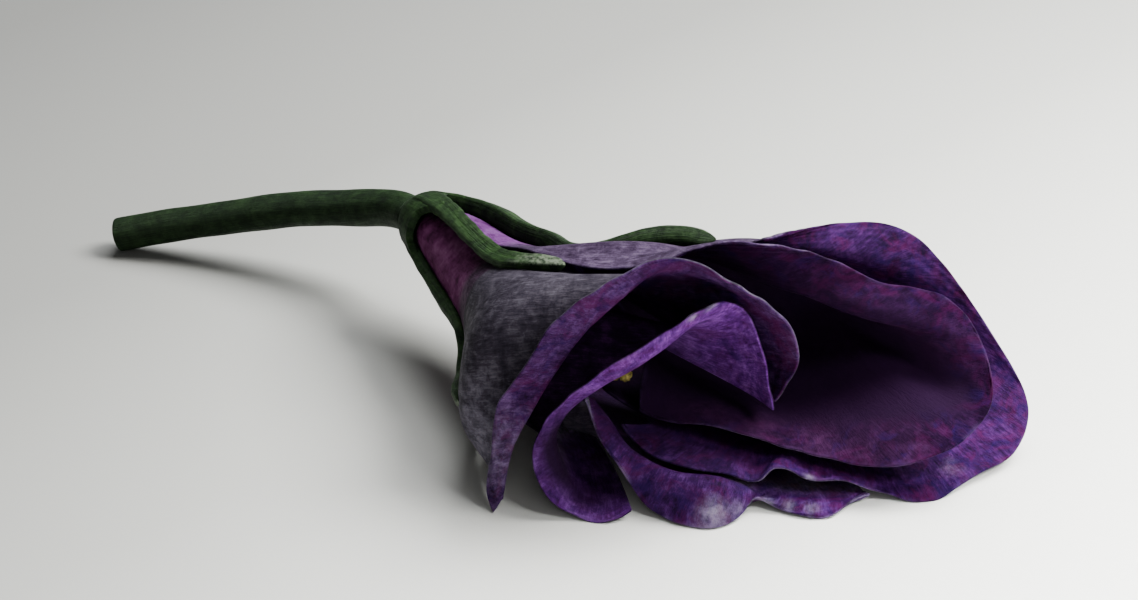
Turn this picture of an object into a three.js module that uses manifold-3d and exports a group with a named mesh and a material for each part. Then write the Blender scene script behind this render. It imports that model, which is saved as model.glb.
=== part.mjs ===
// A large violet bloom on a cut green stem, lying on its side: a slim corolla tube held in a ribbed
// green calyx, five overlapping petals flaring from the mouth, and a few yellow stamens in the throat.
// Millimetres, +Z up, +X along the length of the part, resting on Z = 0.

import * as THREE from "three";
import { mergeVertices } from "three/addons/utils/BufferGeometryUtils.js";
import Module from "manifold-3d";

// ---- driving dimensions ----
const PETAL_THICKNESS = 0.7;
const STEM_RADIUS = 3.15;
const STEM_NECK = 5;
const TUBE_SECTIONS = [2, 14, 26];
const TUBE_RADII = [3.5, 6.5, 8.4];
const TUBE_STEPS = [0.4, 0.7, 0.85];
const TUBE_HALF_ANGLES = [32, 35, 41];
const CALYX_START = -3;
const CALYX_FLOOR = 1.6;
const CALYX_WALL = 1.3;
const CALYX_CLEARANCE = 0.3;
const WEB_HEIGHT = 5;
const WEB_RISE = 6;
const RIB_WIDTH = 3.2;
const RIB_THICKNESS = 1.2;
const SEAT_GAP = 0.3;
const ANTHER_RADIUS = 0.85;
const ANTHER_LENGTH = 2.6;
const FILAMENT_RADIUS = 0.42;
// Puts the middle of the part's footprint over the origin.
const CENTRE_SHIFT = new THREE.Vector3(4.45, -1.05, 0);

// The corolla tube's axis, from the stem joint to the mouth.
const TUBE_AXIS = [
  [-25, 20.8, 19],
  [-16.7, 9, 19],
  [-10.7, -1.6, 18.5],
  [-4.4, -13.4, 18],
];

// ---- curves ----
const vectors = (points) => points.map((p) => new THREE.Vector3(...p));

// A natural cubic spline through the points, its knots spaced by chord length.
function naturalSpline(points, leastStep = 0) {
  const count = points.length;
  const knots = [0];
  for (let i = 1; i < count; i += 1) {
    const step = Math.max(points[i].distanceTo(points[i - 1]), leastStep);
    knots.push(knots[i - 1] + step);
  }
  // Second derivatives, by forward elimination and back substitution.
  const bends = points.map(() => new THREE.Vector3());
  const ratio = new Array(count).fill(0);
  const part = points.map(() => new THREE.Vector3());
  for (let i = 1; i < count - 1; i += 1) {
    const before = knots[i] - knots[i - 1];
    const after = knots[i + 1] - knots[i];
    const rise = points[i + 1].clone().sub(points[i]).divideScalar(after);
    const fall = points[i].clone().sub(points[i - 1]).divideScalar(before);
    const pivot = 2 * (before + after) - before * ratio[i - 1];
    ratio[i] = after / pivot;
    part[i] = rise.sub(fall).multiplyScalar(6);
    part[i].addScaledVector(part[i - 1], -before).divideScalar(pivot);
  }
  for (let i = count - 2; i > 0; i -= 1) {
    bends[i] = part[i].clone().addScaledVector(bends[i + 1], -ratio[i]);
  }
  // The point at `share` of the way through span `span`.
  const inSpan = (span, share) => {
    const width = knots[span + 1] - knots[span];
    const left = (1 - share) * width;
    const right = share * width;
    const at = new THREE.Vector3();
    at.addScaledVector(points[span], left / width);
    at.addScaledVector(points[span + 1], right / width);
    at.addScaledVector(bends[span], (left ** 3 / width - left * width) / 6);
    at.addScaledVector(bends[span + 1], (right ** 3 / width - right * width) / 6);
    return at;
  };
  const length = knots[count - 1];
  const at = (share) => {
    const distance = share * length;
    let span = 0;
    while (span < count - 2 && knots[span + 1] < distance) span += 1;
    return inSpan(span, (distance - knots[span]) / (knots[span + 1] - knots[span]));
  };
  return { at, inSpan, length };
}

const axisSpline = naturalSpline(vectors(TUBE_AXIS));
const axisStart = axisSpline.at(0);
const axisEnd = axisSpline.at(1);
const startHeading = axisSpline.at(0.02).sub(axisStart).normalize();
const endHeading = axisEnd.clone().sub(axisSpline.at(0.98)).normalize();

// Centre and cross directions of the tube at a distance along its axis, run on straight past both ends.
function tubeFrame(distance) {
  const share = distance / axisSpline.length;
  let centre;
  let heading;
  if (share < 0) {
    heading = startHeading.clone();
    centre = axisStart.clone().addScaledVector(heading, distance);
  } else if (share > 1) {
    heading = endHeading.clone();
    centre = axisEnd.clone().addScaledVector(heading, distance - axisSpline.length);
  } else {
    const low = Math.max(share - 0.01, 0);
    const high = Math.min(share + 0.01, 1);
    centre = axisSpline.at(share);
    heading = axisSpline.at(high).sub(axisSpline.at(low)).normalize();
  }
  const across = new THREE.Vector3(0, 0, 1).cross(heading).normalize();
  const upward = heading.clone().cross(across).normalize();
  return { centre, heading, across, upward };
}

// Point on the tube at a distance along the axis, an angle from the horizontal and a radius.
function onTube(distance, degrees, radius) {
  const { centre, across, upward } = tubeFrame(distance);
  const angle = THREE.MathUtils.degToRad(degrees);
  const point = centre.clone();
  point.addScaledVector(across, radius * Math.cos(angle));
  point.addScaledVector(upward, radius * Math.sin(angle));
  return point;
}

// A row of points round the tube, its radius running evenly from the first to the last.
function tubeArc(distance, fromDegrees, toDegrees, fromRadius, toRadius, count) {
  const row = [];
  for (let i = 0; i < count; i += 1) {
    const share = i / (count - 1);
    const degrees = THREE.MathUtils.lerp(fromDegrees, toDegrees, share);
    row.push(onTube(distance, degrees, THREE.MathUtils.lerp(fromRadius, toRadius, share)));
  }
  return row;
}

const NO_REACH = [0, 0, 0];

// A petal's three rows in the tube: its leading edge lies inside the neighbour's trailing edge, and
// tucks in further towards the mouth by `tuck`. The reaches widen it at either edge, in degrees.
function clawRows({ midAngle, leadReach = NO_REACH, trailReach = NO_REACH, tuck = 0 }) {
  return TUBE_SECTIONS.map((distance, i) => {
    const half = TUBE_HALF_ANGLES[i];
    const inner = TUBE_RADII[i] - TUBE_STEPS[i] - (tuck * i) / 2;
    const outer = TUBE_RADII[i] + TUBE_STEPS[i];
    const lead = midAngle - half - leadReach[i];
    const trail = midAngle + half + trailReach[i];
    return tubeArc(distance, lead, trail, inner, outer, 5);
  });
}

// ---- closed bodies ----
function bodyFrom(positions, indices) {
  const geometry = new THREE.BufferGeometry();
  geometry.setAttribute("position", new THREE.Float32BufferAttribute(positions, 3));
  geometry.setIndex(indices);
  geometry.computeVertexNormals();
  return geometry;
}

// Sheet through rows of points, given an even thickness: both faces split into triangles alike.
function sheetBody(rows, across, spans, thickness) {
  const rowSplines = rows.map((row) => naturalSpline(row));
  const grid = [];
  for (let i = 0; i <= across; i += 1) {
    const column = naturalSpline(rowSplines.map((spline) => spline.at(i / across)), 1.2);
    const line = [column.inSpan(0, 0)];
    spans.forEach((steps, span) => {
      for (let k = 1; k <= steps; k += 1) line.push(column.inSpan(span, k / steps));
    });
    grid.push(line);
  }
  const along = grid[0].length - 1;
  const at = (i, j) => grid[Math.min(Math.max(i, 0), across)][Math.min(Math.max(j, 0), along)];
  const positions = [];
  for (const side of [1, -1]) {
    for (let i = 0; i <= across; i += 1) {
      for (let j = 0; j <= along; j += 1) {
        const acrossWay = at(i + 1, j).clone().sub(at(i - 1, j));
        const alongWay = at(i, j + 1).clone().sub(at(i, j - 1));
        const normal = acrossWay.cross(alongWay).normalize();
        const point = at(i, j).clone().addScaledVector(normal, (side * thickness) / 2);
        positions.push(point.x, point.y, point.z);
      }
    }
  }
  const layer = (across + 1) * (along + 1);
  const index = (i, j, side) => side * layer + i * (along + 1) + j;
  const indices = [];
  for (let i = 0; i < across; i += 1) {
    for (let j = 0; j < along; j += 1) {
      const [a, b] = [index(i, j, 0), index(i + 1, j, 0)];
      const [c, d] = [index(i + 1, j + 1, 0), index(i, j + 1, 0)];
      indices.push(a, b, c, a, c, d);
      indices.push(a + layer, c + layer, b + layer, a + layer, d + layer, c + layer);
    }
  }
  const wall = (from, to) => indices.push(from, from + layer, to + layer, from, to + layer, to);
  for (let i = 0; i < across; i += 1) {
    wall(index(i, 0, 0), index(i + 1, 0, 0));
    wall(index(i + 1, along, 0), index(i, along, 0));
  }
  for (let j = 0; j < along; j += 1) {
    wall(index(0, j + 1, 0), index(0, j, 0));
    wall(index(across, j, 0), index(across, j + 1, 0));
  }
  return bodyFrom(positions, indices);
}

// Closed loft through rings of equally many points, with flat fans over both ends.
function loftBody(rings) {
  const sides = rings[0].length;
  const positions = [];
  rings.forEach((ring) => ring.forEach((p) => positions.push(p.x, p.y, p.z)));
  const indices = [];
  for (let r = 0; r < rings.length - 1; r += 1) {
    for (let k = 0; k < sides; k += 1) {
      const next = (k + 1) % sides;
      const [a, b] = [r * sides + k, r * sides + next];
      const [c, d] = [(r + 1) * sides + next, (r + 1) * sides + k];
      indices.push(a, b, c, a, c, d);
    }
  }
  const last = (rings.length - 1) * sides;
  for (let k = 1; k < sides - 1; k += 1) {
    indices.push(0, k + 1, k);
    indices.push(last, last + k, last + k + 1);
  }
  return bodyFrom(positions, indices);
}

// ---- joins and cuts ----
const wasm = await Module();
wasm.setup();

function solidFrom(geometry) {
  const bare = geometry.clone();
  bare.deleteAttribute("normal");
  bare.deleteAttribute("uv");
  const merged = mergeVertices(bare, 1e-5);
  const mesh = new wasm.Mesh({
    numProp: 3,
    vertProperties: new Float32Array(merged.attributes.position.array),
    triVerts: new Uint32Array(merged.index.array),
  });
  const solid = new wasm.Manifold(mesh);
  return solid.volume() < 0 ? flipped(mesh) : solid;
}

function flipped(mesh) {
  const turned = new Uint32Array(mesh.triVerts);
  for (let k = 0; k < turned.length; k += 3) {
    [turned[k], turned[k + 1]] = [turned[k + 1], turned[k]];
  }
  return new wasm.Manifold(new wasm.Mesh({
    numProp: 3,
    vertProperties: mesh.vertProperties,
    triVerts: turned,
  }));
}

function geometryFrom(solid) {
  const { vertProperties, triVerts } = solid.getMesh();
  return bodyFrom(Array.from(vertProperties), Array.from(triVerts));
}

// Everything below the resting surface, which flattens each low point where it touches down.
function belowSurface() {
  const depth = 20;
  const box = new THREE.BoxGeometry(400, 400, depth);
  box.translate(0, 0, -depth / 2);
  return solidFrom(box);
}

const onSurface = (geometry) => geometryFrom(solidFrom(geometry).subtract(belowSurface()));

// ---- materials ----
const matte = (color, roughness) => new THREE.MeshStandardMaterial({ color, roughness, metalness: 0 });
const stemGreen = matte(0x5c7a48, 0.6);
const calyxGreen = matte(0x5f7f4d, 0.6);
const greyViolet = matte(0x8a7798, 0.55);
const paleViolet = matte(0x8c5fb8, 0.5);
const violet = matte(0x6c3fa0, 0.5);
const deepViolet = matte(0x55307f, 0.5);
const pollenYellow = matte(0xc9b04a, 0.7);

// ---- petals ----
// Each petal is a sheet through rows of points that run from its leading to its trailing edge. The
// first three rows are its claw in the tube, and the last one is its free rim.
const PETALS = {
  // Arched hood on the left, its front rim rolled outwards and its tip bent down to the surface.
  petal_hood: {
    material: greyViolet,
    midAngle: 172,
    leadReach: [28, 37, 33],
    rows: [
      vectors([[0, -11, 26], [-6.5, -14.2, 29.2], [-12.6, -16.8, 28.2], [-16, -19.4, 22.3], [-16, -20.2, 13],
        [-12.8, -18, 5]]),
      vectors([[15, -18, 21.5], [11, -19.5, 27.4], [4, -21.8, 31.4], [-4, -25, 33.1], [-10.5, -29, 29.4],
        [-14.4, -32.3, 21], [-14.6, -33.5, 10], [-12, -34, 3]]),
      vectors([[28.8, -23, 11.4], [31.6, -24, 19.7], [28, -26, 29.1], [20.3, -28, 35.5], [13.2, -31.5, 38.5],
        [8.1, -33, 34.8], [2.5, -33.5, 29], [-1.7, -34.5, 23.1], [-6.1, -36.5, 16], [-9.2, -38.5, 9.8],
        [-10.7, -40.5, 2]]),
      vectors([[32.6, -29, 13.1], [36, -29, 20.5], [32.4, -31.5, 30.7], [27, -34, 36.2], [22.3, -35, 39.8],
        [16.9, -33.3, 41.5], [10.8, -34.7, 41], [5.1, -36.5, 38.5], [-2.9, -38.5, 32.5], [-7.8, -38.9, 24],
        [-11.1, -37.7, 18], [-12.3, -39.5, 9], [-12.9, -39.5, 3], [-11.9, -40.7, -0.1]]),
    ],
    spans: [2, 2, 3, 3, 4, 4],
    across: 30,
  },
  // Tongue that rises inside the hood, rolls over in a long lip and ends in a scoop on the surface.
  petal_tongue: {
    material: paleViolet,
    midAngle: 244,
    tuck: 0.5,
    rows: [
      [[85, 7.6], [118, 8.6], [151, 9.7], [184, 10.6], [217, 11.7], [251, 13.4], [285, 15.6]]
        .map(([degrees, radius]) => onTube(38, degrees, radius)),
      [[35, 9.1], [70, 9.8], [105, 10.4], [140, 11], [175, 11.6], [210, 12.4], [246, 13.7], [283, 15.3]]
        .map(([degrees, radius]) => onTube(50, degrees, radius)),
      vectors([[29.7, -26.3, 12.3], [27.9, -25, 16.6], [25.8, -24.5, 22.4], [21.4, -28, 27.9],
        [14.9, -32.5, 25.5], [9.8, -34.5, 22.9], [3.3, -35.5, 19], [-1.1, -36, 14.5], [-2.5, -36.5, 10.8],
        [-2, -37.5, 6.8], [0.8, -38.5, 1.9], [4.9, -39.3, 0.8], [9.3, -39.3, 1.5]]),
      vectors([[32.2, -32, 13.4], [31.5, -30.2, 17.3], [29.3, -29, 26], [26.9, -29, 30.3], [23.2, -32, 33],
        [20.5, -34, 33], [13.5, -36, 29.1], [8.1, -37.5, 26.2], [2.3, -38.5, 22.1], [-2.6, -39, 17.4],
        [-5.3, -39.5, 12.2], [-5.5, -40.5, 7.8], [-3.3, -42.5, 4.1], [0.9, -43, 0.9], [5.6, -44, 0.3],
        [9.8, -42.6, 1.8]]),
    ],
    spans: [2, 2, 2, 3, 4, 3],
    across: 30,
  },
  // Lowest petal: a standing inner edge, then a ridge with a pale lip that slopes to the surface.
  petal_floor: {
    material: violet,
    midAngle: 316,
    rows: [
      tubeArc(38, 250, 330, 11.5, 15.5, 5),
      vectors([[-1, -27, 11.5], [1.5, -28.5, 8], [8, -26, 5.2], [18, -22, 2.8], [28, -19.5, 1.2],
        [38, -19, 0.3]]),
      vectors([[3.6, -28.5, 13.4], [6.2, -30.5, 9.6], [9, -32.6, 6.3], [12.8, -33.8, 4.2], [16.7, -35, 3.2],
        [20.6, -35.6, 2.9], [26.2, -35.6, 2.4], [29.5, -35.6, 1.7], [35, -36, 1.3], [41.3, -36.8, 1.1],
        [46.2, -35.3, 0.9]]),
      vectors([[3, -31.2, 15.6], [4.9, -33.4, 13.1], [7, -35.6, 11], [9.8, -38, 8.7], [13.7, -40, 7.6],
        [18.1, -41, 6.8], [22.3, -41, 6.5], [25.6, -41, 5], [28, -40.4, 2.9], [29.8, -39.4, 1.9],
        [32, -39.4, 1.9], [36.2, -40.4, 1.5], [41, -40.6, 1.2], [44.4, -38.6, 1.1], [46.8, -36.7, 1.1]]),
      vectors([[2.4, -32, 16.8], [3.8, -35, 12.8], [5.3, -37.5, 10.5], [7.3, -39.5, 8.5], [10.2, -40.6, 4],
        [13, -42.2, 1.4], [17.3, -44.4, 0.3], [20.4, -45.4, 0.2], [23.8, -44.9, 0.2], [26.9, -42.7, 1],
        [29.2, -40.4, 2.3], [31.9, -40.7, 1.2], [36.2, -42.3, 0.5], [40.5, -42.6, 0.3], [43.9, -39.9, 0.9],
        [47.5, -37.6, 1.3]]),
    ],
    spans: [2, 2, 2, 3, 3, 3, 2],
    across: 28,
  },
  // Widest petal, outside the others on the right, from the low front edge up to the top rim.
  petal_outer: {
    material: violet,
    midAngle: 388,
    rows: [
      tubeArc(38, 315, 432, 11.5, 14, 6),
      vectors([[9, -24, 9.6], [20, -21, 5.8], [32, -16, 5.8], [41, -7, 11.5], [41.5, -2, 20],
        [35, -2.5, 27.5], [24, -4.5, 27.8], [13, -7.5, 30.2]]),
      vectors([[13, -28, 8.6], [24, -29, 6.4], [36, -29, 5.2], [52, -26, 3], [61.5, -14.5, 7],
        [61.5, -9.5, 14.5], [56, -8, 22.5], [46, -8.5, 27.5], [34, -9.5, 30.8], [25, -11, 31.6]]),
      vectors([[8.2, -30, 9.6], [10, -32.6, 8.2], [13, -35, 7], [16.5, -36.6, 6.2], [20.4, -37.5, 5.8],
        [25.2, -37.8, 5], [28.8, -38.3, 4.2], [30.5, -39.1, 5.4], [31.9, -38.7, 7], [34.1, -38.7, 6.8],
        [36.2, -38.9, 5.6], [38.6, -39.1, 5], [42.9, -38.6, 4.5], [46.6, -38.1, 3], [51, -37.9, 1.2],
        [55.4, -38.2, 0.2], [57.8, -37.7, 0.2], [63.8, -33.4, 1.4], [70.9, -28, 2], [74.1, -23, 3.9],
        [74.8, -17.8, 6.6], [72.1, -14, 11.4], [66.3, -10.5, 19.7], [60.5, -7, 26.6], [54, -4, 30.9],
        [49.6, -3.5, 31.6], [39.4, -7, 32.7], [31.1, -13, 33.6]]),
    ],
    spans: [2, 2, 3, 4, 4, 3],
    across: 38,
  },
  // Bowl-shaped petal inside the outer one, its top left corner lying over the hood.
  petal_bowl: {
    material: deepViolet,
    midAngle: 460,
    leadReach: [-2, 0, 0],
    trailReach: [-26, -25, -33],
    rows: [
      tubeArc(38, 400, 456, 10.5, 12.6, 5),
      vectors([[12, -20.5, 13.5], [23, -18, 9.6], [33.5, -12.5, 10.8], [38.5, -8, 17.5], [36.8, -7, 23.5],
        [28, -12.6, 26.8], [16.5, -16.8, 30.6], [2.5, -18.5, 32.1]]),
      vectors([[11.4, -23.6, 12.6], [14.6, -25, 11.5], [17.8, -26.3, 10.9], [20.9, -27, 10.7],
        [24.9, -27.5, 10.6], [30, -28, 9.5], [36.8, -29.4, 9.1], [44.2, -32.4, 9.8], [52.1, -33.6, 10.8],
        [58.5, -31, 12.6],
        [62.4, -26.8, 13.8], [62.4, -24.2, 18.5], [59.6, -23.2, 22.3], [53.2, -23, 25], [44.3, -23, 28.3],
        [35.6, -22.5, 29.8], [29.3, -22, 31.3], [22.9, -22.5, 33.4], [17.4, -23, 34.7], [12.3, -24, 34.4]]),
      vectors([[11.2, -28, 10.9], [14.5, -29.6, 10], [19.2, -31, 10.3], [23, -32, 10.3], [26.9, -33.2, 10],
        [30, -34, 9.3], [35.1, -35.4, 8.3], [41.6, -37, 7.4], [46.3, -37.9, 6.8], [52, -38.3, 7.1],
        [57.4, -36.8, 8], [60.6, -35.8, 9], [64, -33, 10.4], [66.5, -30.5, 12.6], [67.2, -27.5, 15.3],
        [66.1, -24, 19.7], [63.5, -21, 23.8], [59.9, -19, 26.5], [55, -18.5, 27.9], [49.3, -19, 29.3],
        [45.1, -20.5, 32.3], [40.8, -22.5, 35.4], [35.9, -24.3, 38], [29.1, -25.6, 39.8],
        [23.1, -26.3, 40.3], [19, -27, 39.5], [15.3, -28.1, 38]]),
    ],
    spans: [2, 2, 3, 4, 4, 3],
    across: 36,
  },
};

function petal(shape) {
  const rows = [...clawRows(shape), ...shape.rows];
  return onSurface(sheetBody(rows, shape.across, shape.spans, PETAL_THICKNESS));
}

// ---- calyx ----
// Inner radius of the calyx at a distance along the axis, clear of the corolla tube inside it.
const CALYX_BORE = naturalSpline(vectors([
  [-3, 2.1, 0], [0, 4.1, 0], [2, 4.7, 0], [14, 8.05, 0], [26, 10.15, 0], [38, 13.2, 0],
]));

function boreRadius(distance) {
  let low = 0;
  let high = 1;
  for (let step = 0; step < 40; step += 1) {
    const middle = (low + high) / 2;
    if (CALYX_BORE.at(middle).x < distance) low = middle;
    else high = middle;
  }
  return CALYX_BORE.at(low).y;
}

// Angles of the five sepals round the tube, where the webs between them dip.
const SEPAL_ANGLES = [48, 104, 208, 280, 342];

// Share of the way, from 0 at the lowest point of a web to 1 on a sepal's middle.
function webShare(degrees) {
  const gaps = SEPAL_ANGLES.map((angle) => {
    const turn = THREE.MathUtils.euclideanModulo(degrees - angle + 180, 360) - 180;
    return Math.abs(turn);
  });
  const nearest = Math.min(...gaps);
  return Math.max(0, 1 - nearest / 30) ** 1.5;
}

// Cup that closes over the stem, open to the front, with a scalloped front edge.
function cup() {
  const sides = 40;
  const outerSteps = 6;
  const rings = [];
  const ring = (distanceAt, radiusAt) => {
    const points = [];
    for (let k = 0; k < sides; k += 1) {
      const degrees = (360 * k) / sides;
      const distance = distanceAt(degrees);
      points.push(onTube(distance, degrees, radiusAt(distance)));
    }
    rings.push(points);
  };
  const front = (degrees) => WEB_HEIGHT + WEB_RISE * webShare(degrees);
  for (let k = 0; k <= outerSteps; k += 1) {
    const share = k / outerSteps;
    const outerRadius = (distance) => boreRadius(distance) + CALYX_WALL;
    ring((degrees) => THREE.MathUtils.lerp(CALYX_START, front(degrees), share), outerRadius);
  }
  for (let k = 0; k <= 3; k += 1) {
    const share = 1 - k / 3;
    ring((degrees) => THREE.MathUtils.lerp(CALYX_FLOOR, front(degrees), share), boreRadius);
  }
  return loftBody(rings);
}

// Direction away from the tube's axis at a point near the tube, square to the given heading.
function awayFromAxis(point, heading) {
  let best = tubeFrame(0).centre;
  for (let distance = -4; distance <= 70; distance += 0.5) {
    const { centre } = tubeFrame(distance);
    if (centre.distanceTo(point) < best.distanceTo(point)) best = centre;
  }
  const away = point.clone().sub(best);
  away.addScaledVector(heading, -away.dot(heading));
  return away.normalize();
}

// Sepal: a rib with a rounded crown along a path on the tube, tapering to a pointed tip.
function rib(path, widthAt) {
  const steps = 13;
  const sides = 8;
  const spline = naturalSpline(path);
  const rings = [];
  for (let k = 0; k <= steps; k += 1) {
    const share = k / steps;
    const centre = spline.at(share);
    const heading = spline.at(Math.min(share + 0.01, 1)).sub(spline.at(Math.max(share - 0.01, 0)));
    heading.normalize();
    const away = awayFromAxis(centre, heading);
    const sideways = heading.clone().cross(away).normalize();
    const half = widthAt(share) / 2;
    const crown = RIB_THICKNESS * Math.min(1, 0.45 + half / RIB_WIDTH);
    const points = [];
    for (let n = 0; n < sides; n += 1) {
      const angle = (2 * Math.PI * n) / sides;
      const rise = Math.sin(angle);
      const lift = rise > 0 ? crown * Math.sqrt(rise) : 0.15 * rise;
      const spread = half * Math.sign(Math.cos(angle)) * Math.sqrt(Math.abs(Math.cos(angle)));
      const point = centre.clone();
      point.addScaledVector(sideways, spread);
      point.addScaledVector(away, lift + 0.15);
      points.push(point);
    }
    rings.push(points);
  }
  return loftBody(rings);
}

const onBore = (stations) => stations.map(([distance, degrees]) =>
  onTube(distance, degrees, boreRadius(distance) + CALYX_CLEARANCE / 2));

const atRadii = (stations) => stations.map((station) => onTube(...station));

// The sepals' paths: first along the tube, then over the petals to their tips.
const SEPALS = {
  back: [
    ...onBore([[-1, 56], [8, 57], [17, 60]]),
    ...atRadii([[25, 59, 10], [31, 54, 12], [35, 46, 13.3]]),
    ...vectors([[4, -4, 27.2], [9, -4.8, 29.4], [14, -5.8, 30.8], [19, -8.2, 32.1], [23.6, -11, 32.6]]),
  ],
  top: [
    ...onBore([[-1, 92], [2.5, 96], [7, 102], [15.5, 112]]),
    ...atRadii([[23.5, 115, 9.8], [31.5, 114, 10.9], [37, 110, 12.4]]),
    ...vectors([[-4, -17.5, 31.8], [-0.6, -19.4, 32.5]]),
  ],
  left: [
    ...onBore([[-1, 222], [5, 212], [14, 204]]),
    ...atRadii([[22, 200, 9.45], [28, 198, 10.1], [33, 199, 11.5]]),
    ...vectors([[-16.2, -17.6, 11.4], [-16.6, -21, 8.6]]),
  ],
  below: onBore([[-1, 280], [5, 280], [14, 280], [20, 280], [25, 280]]),
  right: onBore([[-1, 342], [5, 342], [14, 340], [22, 338], [28, 337]]),
};

// Width of a sepal along its path: broad at the foot, then even, then narrowing to a blunt tip.
function ribWidth(share) {
  const foot = 1 + 0.3 * Math.max(0, 1 - share / 0.45);
  const tip = share < 0.72 ? 1 : 1 - 0.6 * ((share - 0.72) / 0.28) ** 1.6;
  return RIB_WIDTH * foot * tip;
}

function calyx() {
  let solid = solidFrom(cup());
  Object.values(SEPALS).forEach((path) => {
    solid = solid.add(solidFrom(rib(path, ribWidth)));
  });
  return geometryFrom(solid);
}

// ---- stem ----
const STEM_PATH = [
  [-83, 44.6, 3.1],
  [-72.5, 43.4, 5.8],
  [-61.3, 41.3, 8.6],
  [-47.5, 37.4, 12.6],
  [-36.8, 32.6, 16.2],
];

function stem() {
  const joint = tubeFrame(CALYX_START - SEAT_GAP).centre;
  const neck = tubeFrame(CALYX_START - STEM_NECK).centre;
  const curve = new THREE.CatmullRomCurve3([...vectors(STEM_PATH), neck, joint], false, "centripetal");
  const circle = new THREE.Shape().absarc(0, 0, STEM_RADIUS, 0, 2 * Math.PI, false);
  const options = { steps: 22, curveSegments: 7, bevelEnabled: false, extrudePath: curve };
  return onSurface(new THREE.ExtrudeGeometry(circle, options));
}

// ---- stamens ----
const ANTHERS = [[5.8, -21, 13.6], [7.4, -20.6, 13], [9.2, -20.8, 12.9], [8.4, -19, 14.4], [6.2, -18.6, 15]];

function stamens() {
  const { centre, heading } = tubeFrame(CALYX_FLOOR + SEAT_GAP);
  const foot = new THREE.CylinderGeometry(2, 2, 1.6, 20);
  foot.rotateX(Math.PI / 2);
  foot.translate(0, 0, 0.8);
  foot.applyQuaternion(new THREE.Quaternion().setFromUnitVectors(new THREE.Vector3(0, 0, 1), heading));
  foot.translate(centre.x, centre.y, centre.z);
  let solid = solidFrom(foot);
  vectors(ANTHERS).forEach((anther, k) => {
    const degrees = 72 * k + 20;
    const curve = new THREE.CatmullRomCurve3([onTube(2.6, degrees, 1.2), onTube(14, degrees, 1.6),
      onTube(28, degrees - 10, 2.4), anther]);
    const round = new THREE.Shape().absarc(0, 0, FILAMENT_RADIUS, 0, 2 * Math.PI, false);
    const options = { steps: 8, curveSegments: 3, bevelEnabled: false, extrudePath: curve };
    solid = solid.add(solidFrom(new THREE.ExtrudeGeometry(round, options)));
    const grain = new THREE.SphereGeometry(1, 8, 6);
    grain.scale(ANTHER_LENGTH / 2, ANTHER_RADIUS, ANTHER_RADIUS);
    grain.rotateZ(0.5 * k);
    grain.rotateY(0.3 * k - 0.5);
    grain.translate(anther.x, anther.y, anther.z);
    solid = solid.add(solidFrom(grain));
  });
  return geometryFrom(solid);
}

// ---- the part ----
const group = new THREE.Group();
group.position.copy(CENTRE_SHIFT);

function place(name, geometry, material) {
  const mesh = new THREE.Mesh(geometry, material);
  mesh.name = name;
  group.add(mesh);
}

place("stem", stem(), stemGreen);
place("calyx", calyx(), calyxGreen);
Object.entries(PETALS).forEach(([name, shape]) => place(name, petal(shape), shape.material));
place("stamens", stamens(), pollenYellow);

export default group;
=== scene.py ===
"""A violet trumpet-shaped bloom on a cut green stem, lying on its side on a pale surface.

Sizes are millimetres, turned into metres where a mesh is made. The petals are closed sheets through
rows of points, like the solids that they stand for, but finer, thinner and with rounded rims. Three
places leave the solids' rows and paths: the edges of the bowl petal and the outer petal towards the hood,
the outer halves of the left and the back sepal, and the stem's last bend, where it swells a little too.
"""

import math

import bpy
import numpy as np
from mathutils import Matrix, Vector


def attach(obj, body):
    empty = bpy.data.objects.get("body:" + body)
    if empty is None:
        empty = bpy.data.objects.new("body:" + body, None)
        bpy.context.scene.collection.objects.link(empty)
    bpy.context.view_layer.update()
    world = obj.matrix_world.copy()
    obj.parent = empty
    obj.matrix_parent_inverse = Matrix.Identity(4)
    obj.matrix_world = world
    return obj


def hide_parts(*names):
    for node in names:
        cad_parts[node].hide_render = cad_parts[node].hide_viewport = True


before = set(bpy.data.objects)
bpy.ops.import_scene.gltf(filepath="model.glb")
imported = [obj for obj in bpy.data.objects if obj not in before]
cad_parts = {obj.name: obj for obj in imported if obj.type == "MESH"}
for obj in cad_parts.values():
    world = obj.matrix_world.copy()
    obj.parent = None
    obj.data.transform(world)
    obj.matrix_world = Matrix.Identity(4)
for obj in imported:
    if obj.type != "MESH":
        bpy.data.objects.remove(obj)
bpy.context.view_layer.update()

# ---- driving dimensions, in millimetres and degrees ----
MM = 0.001
PETAL_THICKNESS = 0.62
RIM_THICKNESS = 0.5
# How far in from its edge a petal reaches its full thickness.
RIM_WIDTH = 10.0
# The ruffle of a petal's rim: its height, and how fast it dies away inwards.
RUFFLE_HEIGHT = 0.12
RUFFLE_REACH = 5.0
STEM_RADIUS = 3.12
STEM_NECK = 5.0
TUBE_SECTIONS = (2.0, 14.0, 26.0)
TUBE_RADII = (3.5, 6.5, 8.4)
TUBE_STEPS = (0.4, 0.7, 0.85)
TUBE_HALF_ANGLES = (32.0, 35.0, 41.0)
CALYX_START = -3.0
CALYX_FLOOR = 1.6
CALYX_WALL = 1.3
WEB_HEIGHT = 5.0
WEB_RISE = 6.0
WEB_HALF_ANGLE = 30.0
RIB_WIDTH = 3.2
RIB_THICKNESS = 1.2
SEAT_GAP = 0.3
# Puts the middle of the part's footprint over the origin.
CENTRE_SHIFT = np.array([4.45, -1.05, 0.0])

# The corolla tube's axis, from the stem joint to the mouth.
TUBE_AXIS = np.array([[-25, 20.8, 19], [-16.7, 9, 19], [-10.7, -1.6, 18.5], [-4.4, -13.4, 18]])


# ---- curves ----
def unit(vectors):
    """Vectors scaled to length one."""
    return vectors / np.linalg.norm(vectors, axis=-1, keepdims=True)


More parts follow.
